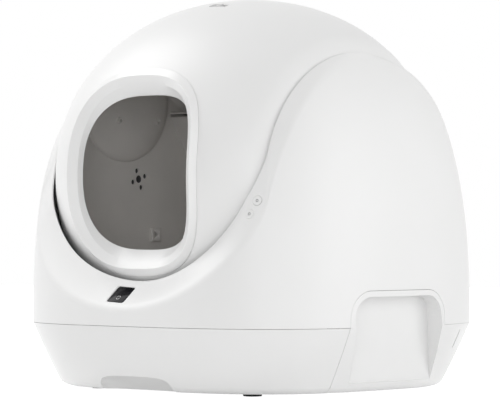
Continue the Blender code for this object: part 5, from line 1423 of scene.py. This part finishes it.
# Gear motor: a die cast gearbox screwed to the right bracket with its motor can hanging
# below, and the output shaft that goes through the bracket to the pinion.
GEARBOX_X = 0.2798
GEARBOX_WIDTH = 0.0300
GEARBOX_EDGE = 0.0025
MOTOR_RADIUS = 0.0140
MOTOR_LENGTH = 0.055
MOTOR_DROP = 0.012
MOTOR_EDGE = 0.0012

half = Vector((0, GEARBOX_DEPTH / 2, GEARBOX_HEIGHT / 2))
low = Vector((GEARBOX_X, PINION_AT.y, PINION_AT.z)) - half
shape = rounded_block(low, low + 2 * half + Vector((GEARBOX_WIDTH, 0, 0)), GEARBOX_EDGE)
motor = make_piece("gear_motor", shape, steel)
middle = GEARBOX_X + GEARBOX_WIDTH / 2
cut_by(motor, rod(MOTOR_SHAFT, HUB_START, middle, "X", PINION_AT, steps=40), "UNION")
place = (middle, PINION_AT.y, PINION_AT.z - MOTOR_DROP)
cut_by(motor, rod(MOTOR_RADIUS, 0, MOTOR_LENGTH, "Y", place, steps=64), "UNION")
smooth_edges(motor, MOTOR_EDGE, segments=2, angle=60)
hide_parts("gearmotor")
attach(motor, "housing")

# Circuit boards: green fibreglass boards behind the window, behind the buttons and on the
# tray's floor; the one on the floor carries the power parts.
BOARD_LOW = Vector((0.2140, -0.040, 0.0098))
BOARD_SIZE = Vector((0.050, 0.090, 0.0016))
BOARD_PARTS = (("coil", 0.012, 0.020, 0.010, 0.010, 0.007), ("chip", 0.030, 0.040, 0.010, 0.014, 0.0016),
               ("plug", 0.010, 0.070, 0.012, 0.008, 0.006), ("driver", 0.032, 0.068, 0.008, 0.008, 0.0020))
BOARD_GAP = 0.00005
PART_EDGE = 0.0003


def board_green(name):
    """Green solder mask with fine paler tracks under it."""
    made, tree, shader = new_look(name)
    tracks = add_node(tree, "TexBrick", "Color", Vector=add_node(tree, "TexCoord", "Object"),
                      Scale=220.0, Mortar_Size=0.06, Color1=(0.012, 0.085, 0.04, 1),
                      Color2=(0.014, 0.095, 0.045, 1), Mortar=(0.03, 0.17, 0.08, 1))
    wire(tree, shader, {"Base Color": tracks, "Roughness": sheen(tree, noise(tree, 300.0), 0.3, 0.45)})
    return made


board_look = board_green("board_green")
for node in ("display_board", "button_board", "control_board"):
    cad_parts[node].data.materials.clear()
    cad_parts[node].data.materials.append(board_look)
for name, x, y, width, length, height in BOARD_PARTS:
    low = BOARD_LOW + Vector((x - width / 2, y - length / 2, BOARD_SIZE.z + BOARD_GAP))
    shape = rounded_block(low, low + Vector((width, length, height)), PART_EDGE)
    chip = make_piece("board_" + name, shape, inlet_black)
    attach(chip, "housing")
